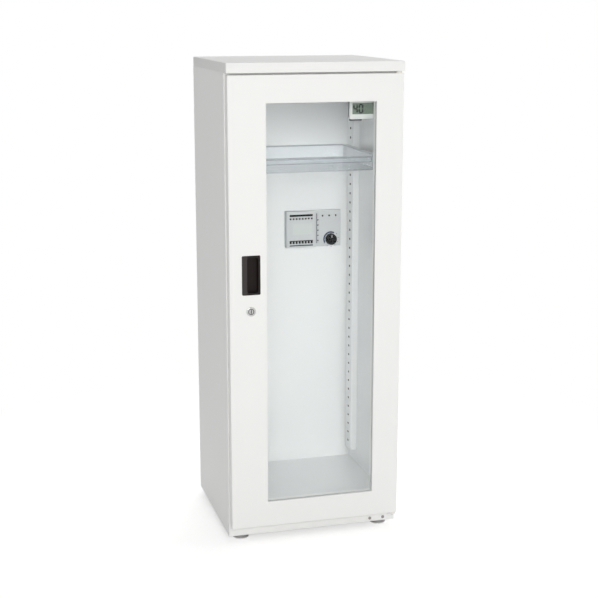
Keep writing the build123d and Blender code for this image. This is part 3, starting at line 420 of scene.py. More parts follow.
tree = finishes["cup_black"].node_tree
place = add_node(tree, "ShaderNodeTexCoord").outputs["Object"]
split = add_node(tree, "ShaderNodeSeparateXYZ")
join(tree, place, split.inputs[0])
# painted shade: darker from the front of the pocket to its bottom, and away from the grip
pocket_shade = ramp(tree, split.outputs["Y"], CUP_FRONT_Y, CUP_DARK_Y, 1.0, 0.3)
strip = ramp(tree, split.outputs["X"], CUP_STRIP_X - MM, CUP_STRIP_X + MM, 1.0, 0.2)
painted_pocket_shade = add_node(tree, "ShaderNodeMix", {"data_type": "RGBA"})
painted_pocket_shade.inputs["A"].default_value = CUP_SHADE
painted_pocket_shade.inputs["B"].default_value = (1.0, 1.0, 1.0, 1.0)
join(tree, arithmetic(tree, "MULTIPLY", pocket_shade, strip), painted_pocket_shade.inputs["Factor"])
shaded = next(n for n in tree.nodes if n.type == "VECT_MATH")
tinted = add_node(tree, "ShaderNodeVectorMath", {"operation": "MULTIPLY"})
join(tree, shaded.outputs[0], tinted.inputs[0])
join(tree, painted_pocket_shade.outputs["Result"], tinted.inputs[1])
join(tree, tinted.outputs[0], tree.nodes["Principled BSDF"].inputs["Base Color"])
print("the pocket's deep tone:", CUP_SHADE[:3])

# %% [markdown]
# The liquid crystal display is a grey-green film behind a clear lens. Its unlit segments
# show as a faint print, which a brick pattern of tiny gaps suggests, and a clear coat
# gives the lens its shine. The dark segments that show the reading are pieces of their
# own, further down.

# %% The display's film
display = finish(
    "display_green", (108, 120, 108), (120, 130, 118), coat(2600.0, 0.10, 0.05),
    roughness=0.40, bump=(0.03, 0.02), edge=0.1, Specular_IOR_Level=0.15, Coat_Weight=0.15,
    Coat_Roughness=0.05,
)
tree = display.node_tree
edge_wear_and_reflection = next(n for n in tree.nodes if n.type == "MIX")
place = add_node(tree, "ShaderNodeTexCoord").outputs["Object"]
turned = add_node(tree, "ShaderNodeMapping")
turned.inputs["Rotation"].default_value = (math.pi / 2, 0.0, 0.0)
join(tree, place, turned.inputs["Vector"])
print_lines = add_node(
    tree, "ShaderNodeTexBrick", {"offset": 0.0}, Scale=1.0, Mortar_Size=0.0004,
    Brick_Width=0.0045, Row_Height=0.009,
)
print_lines.inputs["Color1"].default_value = linear(109, 122, 110)
print_lines.inputs["Color2"].default_value = linear(103, 116, 104)
print_lines.inputs["Mortar"].default_value = linear(113, 126, 114)
join(tree, turned.outputs[0], print_lines.inputs["Vector"])
join(tree, print_lines.outputs["Color"], edge_wear_and_reflection.inputs["A"])
finish(
    "display_ink", (24, 30, 27), (40, 46, 42), coat(3000.0, 0.2, 0.05),
    roughness=0.5, bump=(0.02, 0.01), edge=0.1, Specular_IOR_Level=0.1,
)
print("display film and ink made")

# %% [markdown]
# Glass and clear plastic. Both are a Principled shader with full transmission. A lamp's
# shadow ray can't bend through glass, so real glass would leave the inside of the cabinet
# in the dark: a Mix Shader that turns to plain Transparent on shadow rays lets the lamps
# through and keeps the reflections. The tray's walls are thin, so part of the light goes
# straight on there and only the edges bend all of it. Faint smears in the roughness show
# that the pane is there.

# %% Clear finishes
EDGE_FROST = 0.25


def clear(name, colour, passed, edge_colour, ior, smear, wave, thin=0.0, rim=1.2):
    """A see-through material that lets lamps through, with its edges in a deeper tone.

    Smear is how far its roughness wanders, wave the scale of its ripples, thin the share of
    light that goes straight on, and rim the width of its edges in millimetres.
    """
    material = bpy.data.materials.new(name)
    material.use_nodes = True
    tree = material.node_tree
    shader = tree.nodes["Principled BSDF"]
    shader.inputs["Transmission Weight"].default_value = 1.0
    shader.inputs["IOR"].default_value = ior
    edge_node = add_node(tree, "ShaderNodeGroup", {"node_tree": edges}, Radius=rim * MM)
    edge = edge_node.outputs["Edge"]
    deeper = add_node(tree, "ShaderNodeMix", {"data_type": "RGBA"})
    deeper.inputs["A"].default_value = linear(*colour)
    deeper.inputs["B"].default_value = linear(*edge_colour)
    join(tree, edge, deeper.inputs["Factor"])
    join(tree, deeper.outputs["Result"], shader.inputs["Base Color"])
    skin_node = add_node(
        tree, "ShaderNodeGroup", {"node_tree": skin}, Grain_Scale=wave, Gloss_Spread=smear
    )
    frosted = arithmetic(tree, "MULTIPLY", edge, EDGE_FROST)
    rough = arithmetic(tree, "ADD", skin_node.outputs["Gloss"], frosted)
    join(tree, rough, shader.inputs["Roughness"])
    relief = add_node(tree, "ShaderNodeBump", Strength=0.03, Distance=0.1 * MM)
    join(tree, skin_node.outputs["Height"], relief.inputs["Height"])
    join(tree, relief.outputs["Normal"], shader.inputs["Normal"])
    light = add_node(tree, "ShaderNodeLightPath")
    through = add_node(tree, "ShaderNodeBsdfTransparent", Color=linear(*passed))
    straight = arithmetic(tree, "ADD", arithmetic(tree, "MULTIPLY", edge, -thin), thin)
    straight = arithmetic(tree, "MAXIMUM", straight, light.outputs["Is Shadow Ray"])
    mix = add_node(tree, "ShaderNodeMixShader")
    join(tree, straight, mix.inputs[0])
    join(tree, shader.outputs[0], mix.inputs[1])
    join(tree, through.outputs[0], mix.inputs[2])
    join(tree, mix.outputs[0], tree.nodes["Material Output"].inputs["Surface"])
    material.diffuse_color = linear(*colour)
    finishes[name] = material


clear(
    "door_glass", (247, 248, 247), (223, 225, 226), (236, 242, 240), ior=1.22,
    smear=0.0015, wave=3.0,
)
# the tray's dark edge colour is painted shade, for the dark lines that bending light draws
# along its rims
clear(
    "clear_plastic", (253, 254, 255), (252, 253, 254), (58, 68, 86), ior=1.45,
    smear=0.01, wave=22.0, thin=0.45, rim=3.0,
)
print("see-through:", list(finishes)[-2:])

# %% [markdown]
# Every CAD node now takes the finish of its slot in the record. Their meshes are loose
# triangles with flat shading, which shows facets on the round ones. A merged copy with
# smooth shading up to 30 degrees stands in for those, and the flat sheet parts stay as
# they are. A few pieces share a slot but differ in tone, and get a finish of their own.

# %% Give each node its finish, and smooth the round ones
WELD_DISTANCE = 0.002 * MM
SHARP_ANGLE = math.radians(30)


def dress(thing, material):
    """One material on a whole mesh."""
    thing.data.materials.clear()
    thing.data.materials.append(material)


def smooth_copy(name):
    """A merged, smooth copy of a CAD node that stands for it on the same body."""
    source = nodes[name]
    mesh = source.data.copy()
    mesh.name = f"{name}_smooth"
    work = bmesh.new()
    work.from_mesh(mesh)
    bmesh.ops.remove_doubles(work, verts=work.verts, dist=WELD_DISTANCE)
    for face in work.faces:
        face.smooth = True
    for edge in work.edges:
        edge.smooth = len(edge.link_faces) == 2 and edge.calc_face_angle(0.0) < SHARP_ANGLE
    work.to_mesh(mesh)
    work.free()
    mesh.validate()
    made = bpy.data.objects.new(f"{name}_smooth", mesh)
    bpy.context.scene.collection.objects.link(made)
    dress(made, finishes[slot_of[name]])
    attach(made, source["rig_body"])
    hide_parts(name)
    return made


round_nodes = [
    "tray", "dial_knob", "foot_front_left", "foot_front_right", "foot_rear_left",
    "foot_rear_right", "lock_barrel", "lock_plug", "handle_cup", "hygrometer_case",
    "hygrometer_back", "top_cover", "indicator_lamps", "cord_grommet", "cam_screw",
    "bottom_hinge_pin", "top_hinge_pin", "hinge_bushes", "left_side_panel",
    "right_side_panel", "door_skin", "bottom_hinge_bracket",
]
for name, node in nodes.items():
    dress(node, finishes[slot_of[name]])
smoothed = {name: smooth_copy(name) for name in round_nodes}
own_finish = {
    "handle_cup": "cup_black", "dial_knob": "knob_black", "hygrometer_case": "case_grey",
    "hygrometer_back": "meter_grey", "top_cover": "cover_white",
    "lock_barrel": "lock_chrome", "lock_plug": "lock_chrome",
}
for name, look in own_finish.items():
    dress(smoothed[name], finishes[look])
print("smoothed", len(smoothed), "of", len(nodes), "nodes")

# %% [markdown]
# Screws hold the back panel, the cover and the hinge bracket. CAD has each as a plain
# button. A real one is a pan head with a cross recess, and all are alike, so one head is
# modelled and Geometry Nodes copies it. Where the screws sit is measured from the CAD
# mesh: triangles that share corners belong to one screw.

# %% Find the screws in the CAD mesh


def islands(name):
    """The lowest and highest corner of each separate solid in a CAD node."""
    mesh = nodes[name].data
    owner = {}

    def top(key):
        while owner[key] != key:
            owner[key] = owner[owner[key]]
            key = owner[key]
        return key

    keys = [tuple(round(c, 6) for c in vertex.co) for vertex in mesh.vertices]
    for key in keys:
        owner.setdefault(key, key)
    for face in mesh.polygons:
        first, *rest = [top(keys[index]) for index in face.vertices]
        for other in rest:
            owner[top(other)] = top(first)
    groups = {}
    for key in owner:
        groups.setdefault(top(key), []).append(Vector(key))
    return [
        (Vector(map(min, zip(*points))), Vector(map(max, zip(*points))))
        for points in groups.values()
    ]


screw_boxes = islands("case_screws")
screw_length = (screw_boxes[0][1] - screw_boxes[0][0]).y / MM
print(len(screw_boxes), "screws, each", round(screw_length, 1), "mm long")

# %% [markdown]
# The head is turned from a short profile, and its cross recess is cut as four tapered
# walls that meet a small floor. It has few faces, because it is repeated.

# %% Model one screw, pointing up
HEAD_RADIUS = 4.0 * MM
HEAD_HEIGHT = 2.0 * MM
SHAFT_RADIUS = 2.0 * MM
SHAFT_LENGTH = 5.0 * MM
RECESS_ARM = 2.3 * MM
RECESS_HALF = 0.55 * MM
RECESS_DEPTH = 1.3 * MM
RECESS_TAPER = 0.6


def around(loop):
    """Each item of a closed loop with the next one."""
    return zip(loop, loop[1:] + loop[:1])


def band(work, first, second):
    """A band of faces between two closed loops of corners."""
    for (a, b), (d, c) in zip(around(first), around(second)):
        work.faces.new((a, b, c, d))


def circle(work, radius, sides, place_corner):
    """A closed loop of corners, each placed from its two coordinates on the circle."""
    turns = [2 * math.pi * step / sides for step in range(sides)]
    return [
        work.verts.new(place_corner(radius * math.cos(turn), radius * math.sin(turn)))
        for turn in turns
    ]


def screw_mesh(sides=24):
    """A pan head screw along Z with the underside of its head at zero."""
    work = bmesh.new()
    profile = [
        (SHAFT_RADIUS, -SHAFT_LENGTH),
        (SHAFT_RADIUS, 0.0),
        (HEAD_RADIUS, 0.0),
        (HEAD_RADIUS, HEAD_HEIGHT * 0.35),
        (HEAD_RADIUS * 0.93, HEAD_HEIGHT * 0.7),
        (HEAD_RADIUS * 0.8, HEAD_HEIGHT * 0.9),
        (HEAD_RADIUS * 0.66, HEAD_HEIGHT),
    ]
    rings = [
        circle(work, radius, sides, lambda x, y, level=level: (x, y, level))
        for radius, level in profile
    ]
    for low, high in zip(rings, rings[1:]):
        band(work, low, high)
    work.faces.new(list(reversed(rings[0])))
    arm = [(RECESS_ARM, -RECESS_HALF), (RECESS_ARM, RECESS_HALF), (RECESS_HALF, RECESS_HALF)]
    turns = [Matrix.Rotation(quarter * math.pi / 2, 3, "Z") for quarter in range(4)]
    cross = [turn @ Vector((x, y, 0.0)) for turn in turns for x, y in arm]
    floor_level = HEAD_HEIGHT - RECESS_DEPTH
    rim = [work.verts.new((p.x, p.y, HEAD_HEIGHT)) for p in cross]
    pit = [
        work.verts.new((p.x * RECESS_TAPER, p.y * RECESS_TAPER, floor_level)) for p in cross
    ]
    outer_edges = [work.edges.get(pair) for pair in around(rings[-1])]
    rim_edges = [work.edges.new(pair) for pair in around(rim)]
    bmesh.ops.triangle_fill(work, edges=outer_edges + rim_edges, use_beauty=True)
    band(work, rim, pit)
    work.faces.new(pit)
    inner = [f for f in work.faces if all(v in rim for v in f.verts)]
    bmesh.ops.delete(work, geom=inner, context="FACES_ONLY")
    bmesh.ops.recalc_face_normals(work, faces=work.faces)
    mesh = bpy.data.meshes.new("one_screw")
    work.to_mesh(mesh)
    work.free()
    return mesh


screw_source = bpy.data.objects.new("one_screw", screw_mesh())
print("one screw has", len(screw_source.data.polygons), "faces")

# %% [markdown]
# The tree that scatters them is general: it puts a copy of any object on each vertex of a
# carrier mesh, turned to the direction that the vertex stores. It ends in Realize
# Instances and Set Material, since an export sees no instances. A modifier's inputs are
# set by the sockets' identifiers.

# %% A Geometry Nodes tree that sets copies on points


def geometry_tree(name, inputs):
    """An empty tree with a geometry input and output and the inputs that are named."""
    tree = bpy.data.node_groups.new(name, "GeometryNodeTree")
    tree.interface.new_socket("Geometry", in_out="INPUT", socket_type="NodeSocketGeometry")
    for label, kind in inputs.items():
        tree.interface.new_socket(label, in_out="INPUT", socket_type=kind)
    tree.interface.new_socket("Geometry", in_out="OUTPUT", socket_type="NodeSocketGeometry")
    return tree, tree.nodes.new("NodeGroupInput"), tree.nodes.new("NodeGroupOutput")


def end_tree(tree, start, end, geometry):
    """Realize the instances, set the material and send the result out."""
    real = tree.nodes.new("GeometryNodeRealizeInstances")
    painted = tree.nodes.new("GeometryNodeSetMaterial")
    join(tree, geometry, real.inputs[0])
    join(tree, real.outputs[0], painted.inputs["Geometry"])
    join(tree, start.outputs["Material"], painted.inputs["Material"])
    join(tree, painted.outputs[0], end.inputs[0])


scatter, start, end = geometry_tree(
    "Copies on points", {"Copy": "NodeSocketObject", "Material": "NodeSocketMaterial"}
)
copy_info = scatter.nodes.new("GeometryNodeObjectInfo")
join(scatter, start.outputs["Copy"], copy_info.inputs["Object"])
facing = add_node(scatter, "GeometryNodeInputNamedAttribute", {"data_type": "FLOAT_VECTOR"})
facing.inputs["Name"].default_value = "facing"
aim = add_node(scatter, "FunctionNodeAlignRotationToVector", {"axis": "Z"})
join(scatter, facing.outputs["Attribute"], aim.inputs["Vector"])
placed = scatter.nodes.new("GeometryNodeInstanceOnPoints")
join(scatter, start.outputs["Geometry"], placed.inputs["Points"])
join(scatter, copy_info.outputs["Geometry"], placed.inputs["Instance"])
join(scatter, aim.outputs["Rotation"], placed.inputs["Rotation"])
end_tree(scatter, start, end, placed.outputs["Instances"])


def grow(name, tree, values, carrier, body):
    """Run a tree on a carrier mesh and keep the result as a plain mesh on a body."""
    thing = bpy.data.objects.new(name, carrier)
    bpy.context.scene.collection.objects.link(thing)
    modifier = thing.modifiers.new("Grow", "NODES")
    modifier.node_group = tree
    for item in tree.interface.items_tree:
        if item.in_out == "INPUT" and item.name in values:
            modifier[item.identifier] = values[item.name]
    bpy.context.view_layer.update()
    evaluated = thing.evaluated_get(bpy.context.evaluated_depsgraph_get())
    mesh = bpy.data.meshes.new_from_object(evaluated)
    thing.modifiers.clear()
    thing.data = mesh
    mesh.name = name
    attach(thing, body)
    print(name, "has", len(mesh.polygons), "faces")
    return thing


def points_mesh(name, spots):
    """A carrier mesh of loose vertices, each with the direction that its copy faces."""
    mesh = bpy.data.meshes.new(name)
    mesh.from_pydata([spot for spot, _ in spots], [], [])
    facing_values = mesh.attributes.new("facing", "FLOAT_VECTOR", "POINT")
    for index, (_, direction) in enumerate(spots):
        facing_values.data[index].vector = direction
    return mesh


# %% Put a screw at each place that CAD gives
screw_spots = []
for low, high in screw_boxes:
    middle = (low + high) / 2
    away = 1.0 if middle.y > 0 else -1.0
    under_head = (high.y if away > 0 else low.y) - away * HEAD_HEIGHT
    screw_spots.append(((middle.x, under_head, middle.z), (0.0, away, 0.0)))
screws = grow(
    "case_screws_detailed",
    scatter,
    {"Copy": screw_source, "Material": finishes["screw_steel"]},
    points_mesh("screw_points", screw_spots),
    "cabinet",
)
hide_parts("case_screws")
for polygon in screws.data.polygons:
    polygon.use_smooth = False

# %% [markdown]
# Round the knob runs a printed scale: CAD has its thick arc, and the small dots that
# carry on from it are thin discs on a circle. They follow a rule, so a tree lays them
# out: an arc resampled to a count, with a disc on each point.

# %% The dots of the dial's scale
ring_tree, start, end = geometry_tree(
    "Dots on an arc",
    {
        "Radius": "NodeSocketFloat",
        "Start Angle": "NodeSocketFloat",
        "Sweep": "NodeSocketFloat",
        "Count": "NodeSocketInt",
        "Dot Radius": "NodeSocketFloat",
        "Thickness": "NodeSocketFloat",
        "Material": "NodeSocketMaterial",
    },
)
arc = add_node(ring_tree, "GeometryNodeCurveArc", {"mode": "RADIUS"})
join(ring_tree, start.outputs["Radius"], arc.inputs["Radius"])
join(ring_tree, start.outputs["Start Angle"], arc.inputs["Start Angle"])
join(ring_tree, start.outputs["Sweep"], arc.inputs["Sweep Angle"])
join(ring_tree, start.outputs["Count"], arc.inputs["Resolution"])
disc = add_node(ring_tree, "GeometryNodeMeshCylinder", Vertices=14)
join(ring_tree, start.outputs["Dot Radius"], disc.inputs["Radius"])
join(ring_tree, start.outputs["Thickness"], disc.inputs["Depth"])
dots = ring_tree.nodes.new("GeometryNodeInstanceOnPoints")
join(ring_tree, arc.outputs["Curve"], dots.inputs["Points"])
join(ring_tree, disc.outputs["Mesh"], dots.inputs["Instance"])
end_tree(ring_tree, start, end, dots.outputs["Instances"])

knob_low, knob_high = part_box("dial_knob")
panel_low, panel_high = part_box("control_panel")
DOT_THICKNESS = 0.5 * MM
DOT_CIRCLE = 21.5 * MM
DOT_START = math.radians(-150)
DOT_SWEEP = math.radians(190)
knob_x = (knob_low.x + knob_high.x) / 2
knob_z = (knob_low.z + knob_high.z) / 2
scale_dots = grow(
    "scale_dots",
    ring_tree,
    {
        "Radius": DOT_CIRCLE,
        "Start Angle": DOT_START,
        "Sweep": DOT_SWEEP,
        "Count": 7,
        "Dot Radius": 1.0 * MM,
        "Thickness": DOT_THICKNESS,
        "Material": finishes["scale_blue"],
    },
    bpy.data.meshes.new("arc_seed"),
    "cabinet",
)
stand_up = Matrix.Rotation(math.pi / 2, 4, "X")
dot_face = Matrix.Translation((knob_x, panel_low.y - DOT_THICKNESS / 4, knob_z))
scale_dots.data.transform(dot_face @ stand_up)

# %% [markdown]
# The knob needs its pointer: a short white line let into its face, which shows where the
# dial stands when it turns. It is a thin bar that rides on the dial's body. A plain box
# helper serves for this and for the blank plate on the drying unit. Its corners are given
# in millimetres from a corner of the CAD piece that it belongs to.

# %% Boxes with rounded edges for small flat pieces


def add_piece(name, work, look, body):
    """A bmesh as a visible piece with one finish, on a body."""
    mesh = bpy.data.meshes.new(name)
    work.to_mesh(mesh)
    work.free()
    thing = bpy.data.objects.new(name, mesh)
    bpy.context.scene.collection.objects.link(thing)
    dress(thing, finishes[look])
    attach(thing, body)


def off(corner, x, y, z):
    """The place that lies x, y and z millimetres from a corner."""
    return Vector(corner) + Vector((x, y, z)) * MM


def bar(name, low, high, look, body, round_by=0.2 * MM):
    """A box between two corners with rounded edges, on a body."""
    work = bmesh.new()
    bmesh.ops.create_cube(work, size=1.0)
    bmesh.ops.scale(work, vec=high - low, verts=work.verts)
    bmesh.ops.translate(work, vec=(high + low) / 2, verts=work.verts)
    if round_by:
        bmesh.ops.bevel(
            work, geom=work.edges[:], offset=round_by, segments=2, profile=0.5, affect="EDGES"
        )
    add_piece(name, work, look, body)


finish(
    "pointer_white", (232, 232, 230), (240, 240, 238), coat(3000.0, 0.02, 0.1),
    roughness=0.4, bump=(0.05, 0.02), edge=0.1,
)
knob_face = Vector((knob_x, knob_low.y, knob_z))
bar(
    "knob_pointer", off(knob_face, -0.7, -0.15, 5.5), off(knob_face, 0.7, 0.6, 12.5),
    "pointer_white", "dial", round_by=0.1 * MM,
)
finish(
    "plate_film", (213, 218, 216), (220, 223, 222), coat(1800.0, 0.03, 0.1),
    roughness=0.28, bump=(0.05, 0.02), edge=0.2, Coat_Weight=0.3,
)
vent_low, vent_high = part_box("vent_box")
bar(
    "blank_plate", off(vent_low, 17, -0.35, 36), off(vent_low, 72, 0.2, 66),
    "plate_film", "cabinet",
)
print("pointer and blank plate made")

# %% [markdown]
# The vent box stands out from the panel beside it, and a grey strip on the panel next to
# it is its painted shadow. Across its foot run two dark lines of painted shade: one over
# the comb of slots, and one below them. All three are thin bars.

# %% Lines of the vent box
finish(
    "painted_shadow_grey", (150, 152, 155), (160, 162, 165), coat(2400.0, 0.06, 0.12),
    roughness=0.6, bump=(0.1, 0.05), edge=0.3, Specular_IOR_Level=0.2,
)
finish(
    "line_shade_black", (24, 25, 27), (44, 45, 47), coat(1600.0, 0.05, 0.12),
    roughness=0.5, bump=(0.1, 0.05), edge=0.2, Specular_IOR_Level=0.2,
)
seam_low = Vector((vent_high.x, panel_low.y, panel_low.z))
seam_high = Vector((vent_high.x, panel_low.y, panel_high.z))
# painted shadow of the vent box, and painted shade in two lines across its foot
lines = {
    "vent_strip": (off(seam_low, 0.05, -0.3, 9), off(seam_high, 5.7, 0.2, -8), "painted_shadow_grey"),
    "comb_lip": (off(vent_low, 9, -0.25, 17.4), off(vent_low, 74, 0.2, 19.8), "line_shade_black"),
    "drip_edge": (off(vent_low, 9, -0.25, 4.3), off(vent_low, 74, 0.2, 7.7), "meter_grey"),
}
for name, (low, high, look) in lines.items():
    bar(name, low, high, look, "cabinet", round_by=0.1 * MM)
print("lines of the vent box:", list(lines))

# %% [markdown]
# A cam lock shows two dark places in its bright face: the keyway, and the hairline gap
# between the plug that turns and the barrel that doesn't. The keyway is a thin dark bar
# on the plug, and the gap is a flat ring on the barrel: both are painted shade, dark
# pieces for the shade inside the slot and the gap.

# %% The keyway and the gap of the lock
GAP_INNER = 6.05 * MM
GAP_OUTER = 7.4 * MM
GAP_DEPTH = 0.2 * MM


def ring(name, centre, inner, outer, thickness, look, body, sides=48):
    """A flat ring that faces the front, on a body."""
    work = bmesh.new()
    front, rear = centre.y, centre.y + thickness
    loops = [
        circle(work, radius, sides, lambda x, z, y=y: (centre.x + x, y, centre.z + z))
        for radius, y in ((inner, front), (outer, front), (outer, rear), (inner, rear))
    ]
    for loop, other in around(loops):
        band(work, loop, other)
    bmesh.ops.recalc_face_normals(work, faces=work.faces)
    add_piece(name, work, look, body)


finish(
    "painted_lock_shade", (20, 19, 19), (40, 39, 39), coat(2600.0, 0.2, 0.1),
    roughness=0.7, bump=(0.1, 0.05), edge=0.2, Specular_IOR_Level=0.1,
)
plug_low, plug_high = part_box("lock_plug")
barrel_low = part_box("lock_barrel")[0]
plug_x = (plug_low.x + plug_high.x) / 2
plug_z = (plug_low.z + plug_high.z) / 2
plug_face = Vector((plug_x, plug_low.y, plug_z))
barrel_face = Vector((plug_x, barrel_low.y, plug_z))
# painted shade: dark pieces for the shade in the keyway and the gap
bar(
    "lock_keyway", off(plug_face, -1.2, -0.06, -4.2), off(plug_face, 1.2, 1.2, 4.2),
    "painted_lock_shade", "lock", round_by=0.0,
)
ring(
    "lock_gap", off(barrel_face, 0, -0.05, 0), GAP_INNER, GAP_OUTER, GAP_DEPTH,
    "painted_lock_shade", "door",
)
print("barrel face at", round(barrel_low.y / MM, 2), "mm, plug at", round(plug_low.y / MM, 2))

# %% [markdown]
# Slots look dark because the space behind them is closed and in shade. The posts and the
# vent box are thin sheets with white paint on both sides, and so much light comes in that
# their slots would fade, and the board would show through the panel's five holes. A black
# strip just behind the sheet is painted shade: it keeps each one dark and crisp.

# %% Painted shade strips behind the slots
finish(
    "slot_shade_black", (16, 17, 19), (24, 25, 27), coat(1400.0, 0.3, 0.1),
    roughness=0.9, bump=(0.5, 0.2), edge=0.2, Specular_IOR_Level=0.1,
)
POST_SHEET = 1.2 * MM
SLOT_Y = {"front": -0.1278, "rear": 0.144}
SHADE_STRIP_HALF = 9 * MM
SHADE_STRIP_END = 4 * MM


def shade_strip(name, low, high):
    """A strip of painted shade between two corners, on the cabinet."""
    bar(name, low, high, "slot_shade_black", "cabinet", round_by=0.0)


# painted shade: a black strip behind each post's row of slots
for corner in ("front_left", "front_right", "rear_left", "rear_right"):
    post_low, post_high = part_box(f"{corner}_post")
    side = 1 if post_low.x > 0 else -1
    face = min(abs(post_low.x), abs(post_high.x)) + POST_SHEET + 0.1 * MM
    row = SLOT_Y[corner.split("_")[0]]
    xs = sorted((side * face, side * (face + 0.4 * MM)))
    shade_strip(
        f"{corner}_post_felt",
        Vector((xs[0], row - SHADE_STRIP_HALF, post_low.z + SHADE_STRIP_END)),
        Vector((xs[1], row + SHADE_STRIP_HALF, post_high.z - SHADE_STRIP_END)),
    )
vent_end = Vector((vent_high.x, vent_low.y, vent_high.z))
shade_strip("vent_felt", off(vent_low, 3, 2.03, 3), off(vent_end, -3, 2.23, -3))
shade_strip("dot_felt", off(panel_low, 4, 2.03, 10), off(panel_low, 12, 2.23, 80))
print("felt behind the slots of four posts, the vent box and the dots")

# %% [markdown]
# Under its back the meter gets a small dark bar, a painted shadow of the meter. From
# the front it shows as a dark line below the case.

# %% The painted shadow under the meter
back_low, back_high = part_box("hygrometer_back")
back_end = Vector((back_low.x, back_high.y, back_low.z))
# painted shadow: a dark bar below the meter's back
bar(
    "meter_stop", off(back_low, 3, 1, -4), off(back_end, 34, -3, 1.5),
    "meter_grey", "cabinet", round_by=1.8 * MM,
)
print("meter back", [round(v / MM, 1) for v in back_low], [round(v / MM, 1) for v in back_high])

# %% [markdown]
# The meter reads 40. Each digit of a liquid crystal display is seven slim segments with
# pointed ends, switched on by a table. Polygons set a hair in front of the film look
# printed from any side, and cost a few faces.

# %% The reading on the display
SEGMENTS_ON = {"4": "bcfg", "0": "abcdef"}
STROKE = 3.8 * MM
DIGIT_WIDTH = 8.4 * MM
DIGIT_HEIGHT = 19.8 * MM
DIGIT_PITCH = 13.8 * MM
SEGMENT_GAP = 0.35 * MM
INK_THICKNESS = 0.15 * MM
INK_LIFT = 0.1 * MM
READING_LEFT = 4.0 * MM
READING = "40"


def segment(work, start, end, depth):
    """One pointed segment between two points of the display's face."""
    along = (end - start).normalized()
    across = Vector((-along.y, along.x))
    half = STROKE / 2
    first = start + along * SEGMENT_GAP
    last = end - along * SEGMENT_GAP
    corners = [
        first,
        first + (along - across) * half,
        last - (along + across) * half,
        last,
        last - (along - across) * half,
        first + (along + across) * half,
    ]
    front = [work.verts.new((c.x, depth, c.y)) for c in corners]
    rear = [work.verts.new((c.x, depth + INK_THICKNESS, c.y)) for c in corners]
    work.faces.new(front)
    work.faces.new(list(reversed(rear)))
    band(work, rear, front)


def digit(work, sign, left, low, depth):
    """One seven segment digit with its lower left corner at left, low."""
    right, middle, high = left + DIGIT_WIDTH, low + DIGIT_HEIGHT / 2, low + DIGIT_HEIGHT
    points = {
        "tl": Vector((left, high)), "tr": Vector((right, high)),
        "ml": Vector((left, middle)), "mr": Vector((right, middle)),
        "bl": Vector((left, low)), "br": Vector((right, low)),
    }
    lines = {
        "a": ("tl", "tr"), "b": ("tr", "mr"), "c": ("mr", "br"), "d": ("bl", "br"),
        "e": ("bl", "ml"), "f": ("ml", "tl"), "g": ("ml", "mr"),
    }
    for name in SEGMENTS_ON[sign]:
        start_name, end_name = lines[name]
        segment(work, points[start_name], points[end_name], depth)


film_low, film_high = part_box("hygrometer_display")
digit_low = (film_low.z + film_high.z - DIGIT_HEIGHT) / 2
ink = bmesh.new()
for index, sign in enumerate(READING):
    digit_left = film_low.x + READING_LEFT + index * DIGIT_PITCH
    digit(ink, sign, digit_left, digit_low, film_low.y - INK_LIFT)
bmesh.ops.recalc_face_normals(ink, faces=ink.faces)
print("the meter reads", READING, "with", len(ink.faces), "faces")
add_piece("meter_reading", ink, "display_ink", "cabinet")

# %% [markdown]
# The studio. The floor and the world are white to the camera, to mirrors and to glass,
# and dimmer to everything else, so the object is lit plainly. Light Path tells the rays
# apart. Near the object the floor is lit paper, which keeps the shadow, and past a metre
# it fades to pure white, like the sweep of paper in a studio.

# %% World and floor


def seen_directly(tree):
    """One on camera, glossy and transmission rays, and zero on the rest."""
    light = add_node(tree, "ShaderNodeLightPath")
    both = arithmetic(
        tree, "MAXIMUM", light.outputs["Is Camera Ray"], light.outputs["Is Glossy Ray"]
    )
    return arithmetic(tree, "MAXIMUM", both, light.outputs["Is Transmission Ray"])


WORLD_LIGHT = 0.41
WORLD_TINT = (0.98, 0.985, 0.98, 1.0)
world = bpy.data.worlds.new("studio")
bpy.context.scene.world = world
world.use_nodes = True
tree = world.node_tree
shown = tree.nodes["Background"]
shown.inputs["Color"].default_value = (1.0, 1.0, 1.0, 1.0)
shown.inputs["Strength"].default_value = 1.0
lighting = add_node(tree, "ShaderNodeBackground", Color=WORLD_TINT, Strength=WORLD_LIGHT)
mix = add_node(tree, "ShaderNodeMixShader")
join(tree, seen_directly(tree), mix.inputs[0])
join(tree, lighting.outputs[0], mix.inputs[1])
join(tree, shown.outputs[0], mix.inputs[2])
join(tree, mix.outputs[0], tree.nodes["World Output"].inputs["Surface"])

PAPER_GLOW = 0.42
PAPER_TONE = (0.86, 0.86, 0.86, 1.0)
FADE_START, FADE_END = 0.5, 1.3
REACH = 40.0
floor_material = bpy.data.materials.new("studio_floor")
floor_material.use_nodes = True
tree = floor_material.node_tree
paper = tree.nodes["Principled BSDF"]
paper.inputs["Base Color"].default_value = PAPER_TONE
paper.inputs["Roughness"].default_value = 0.9
paper.inputs["Specular IOR Level"].default_value = 0.0
glow = add_node(tree, "ShaderNodeEmission", Strength=PAPER_GLOW)
both = add_node(tree, "ShaderNodeAddShader")
join(tree, paper.outputs[0], both.inputs[0])
join(tree, glow.outputs[0], both.inputs[1])
white = add_node(tree, "ShaderNodeEmission", Strength=1.0)
place = add_node(tree, "ShaderNodeTexCoord").outputs["Object"]
distance = add_node(tree, "ShaderNodeVectorMath", {"operation": "LENGTH"})
join(tree, place, distance.inputs[0])
fade = ramp(tree, distance.outputs["Value"], FADE_START, FADE_END)
sweep = add_node(tree, "ShaderNodeMixShader")
join(tree, fade, sweep.inputs[0])
join(tree, both.outputs[0], sweep.inputs[1])
join(tree, white.outputs[0], sweep.inputs[2])
choose = add_node(tree, "ShaderNodeMixShader")
join(tree, seen_directly(tree), choose.inputs[0])
join(tree, paper.outputs[0], choose.inputs[1])
join(tree, sweep.outputs[0], choose.inputs[2])
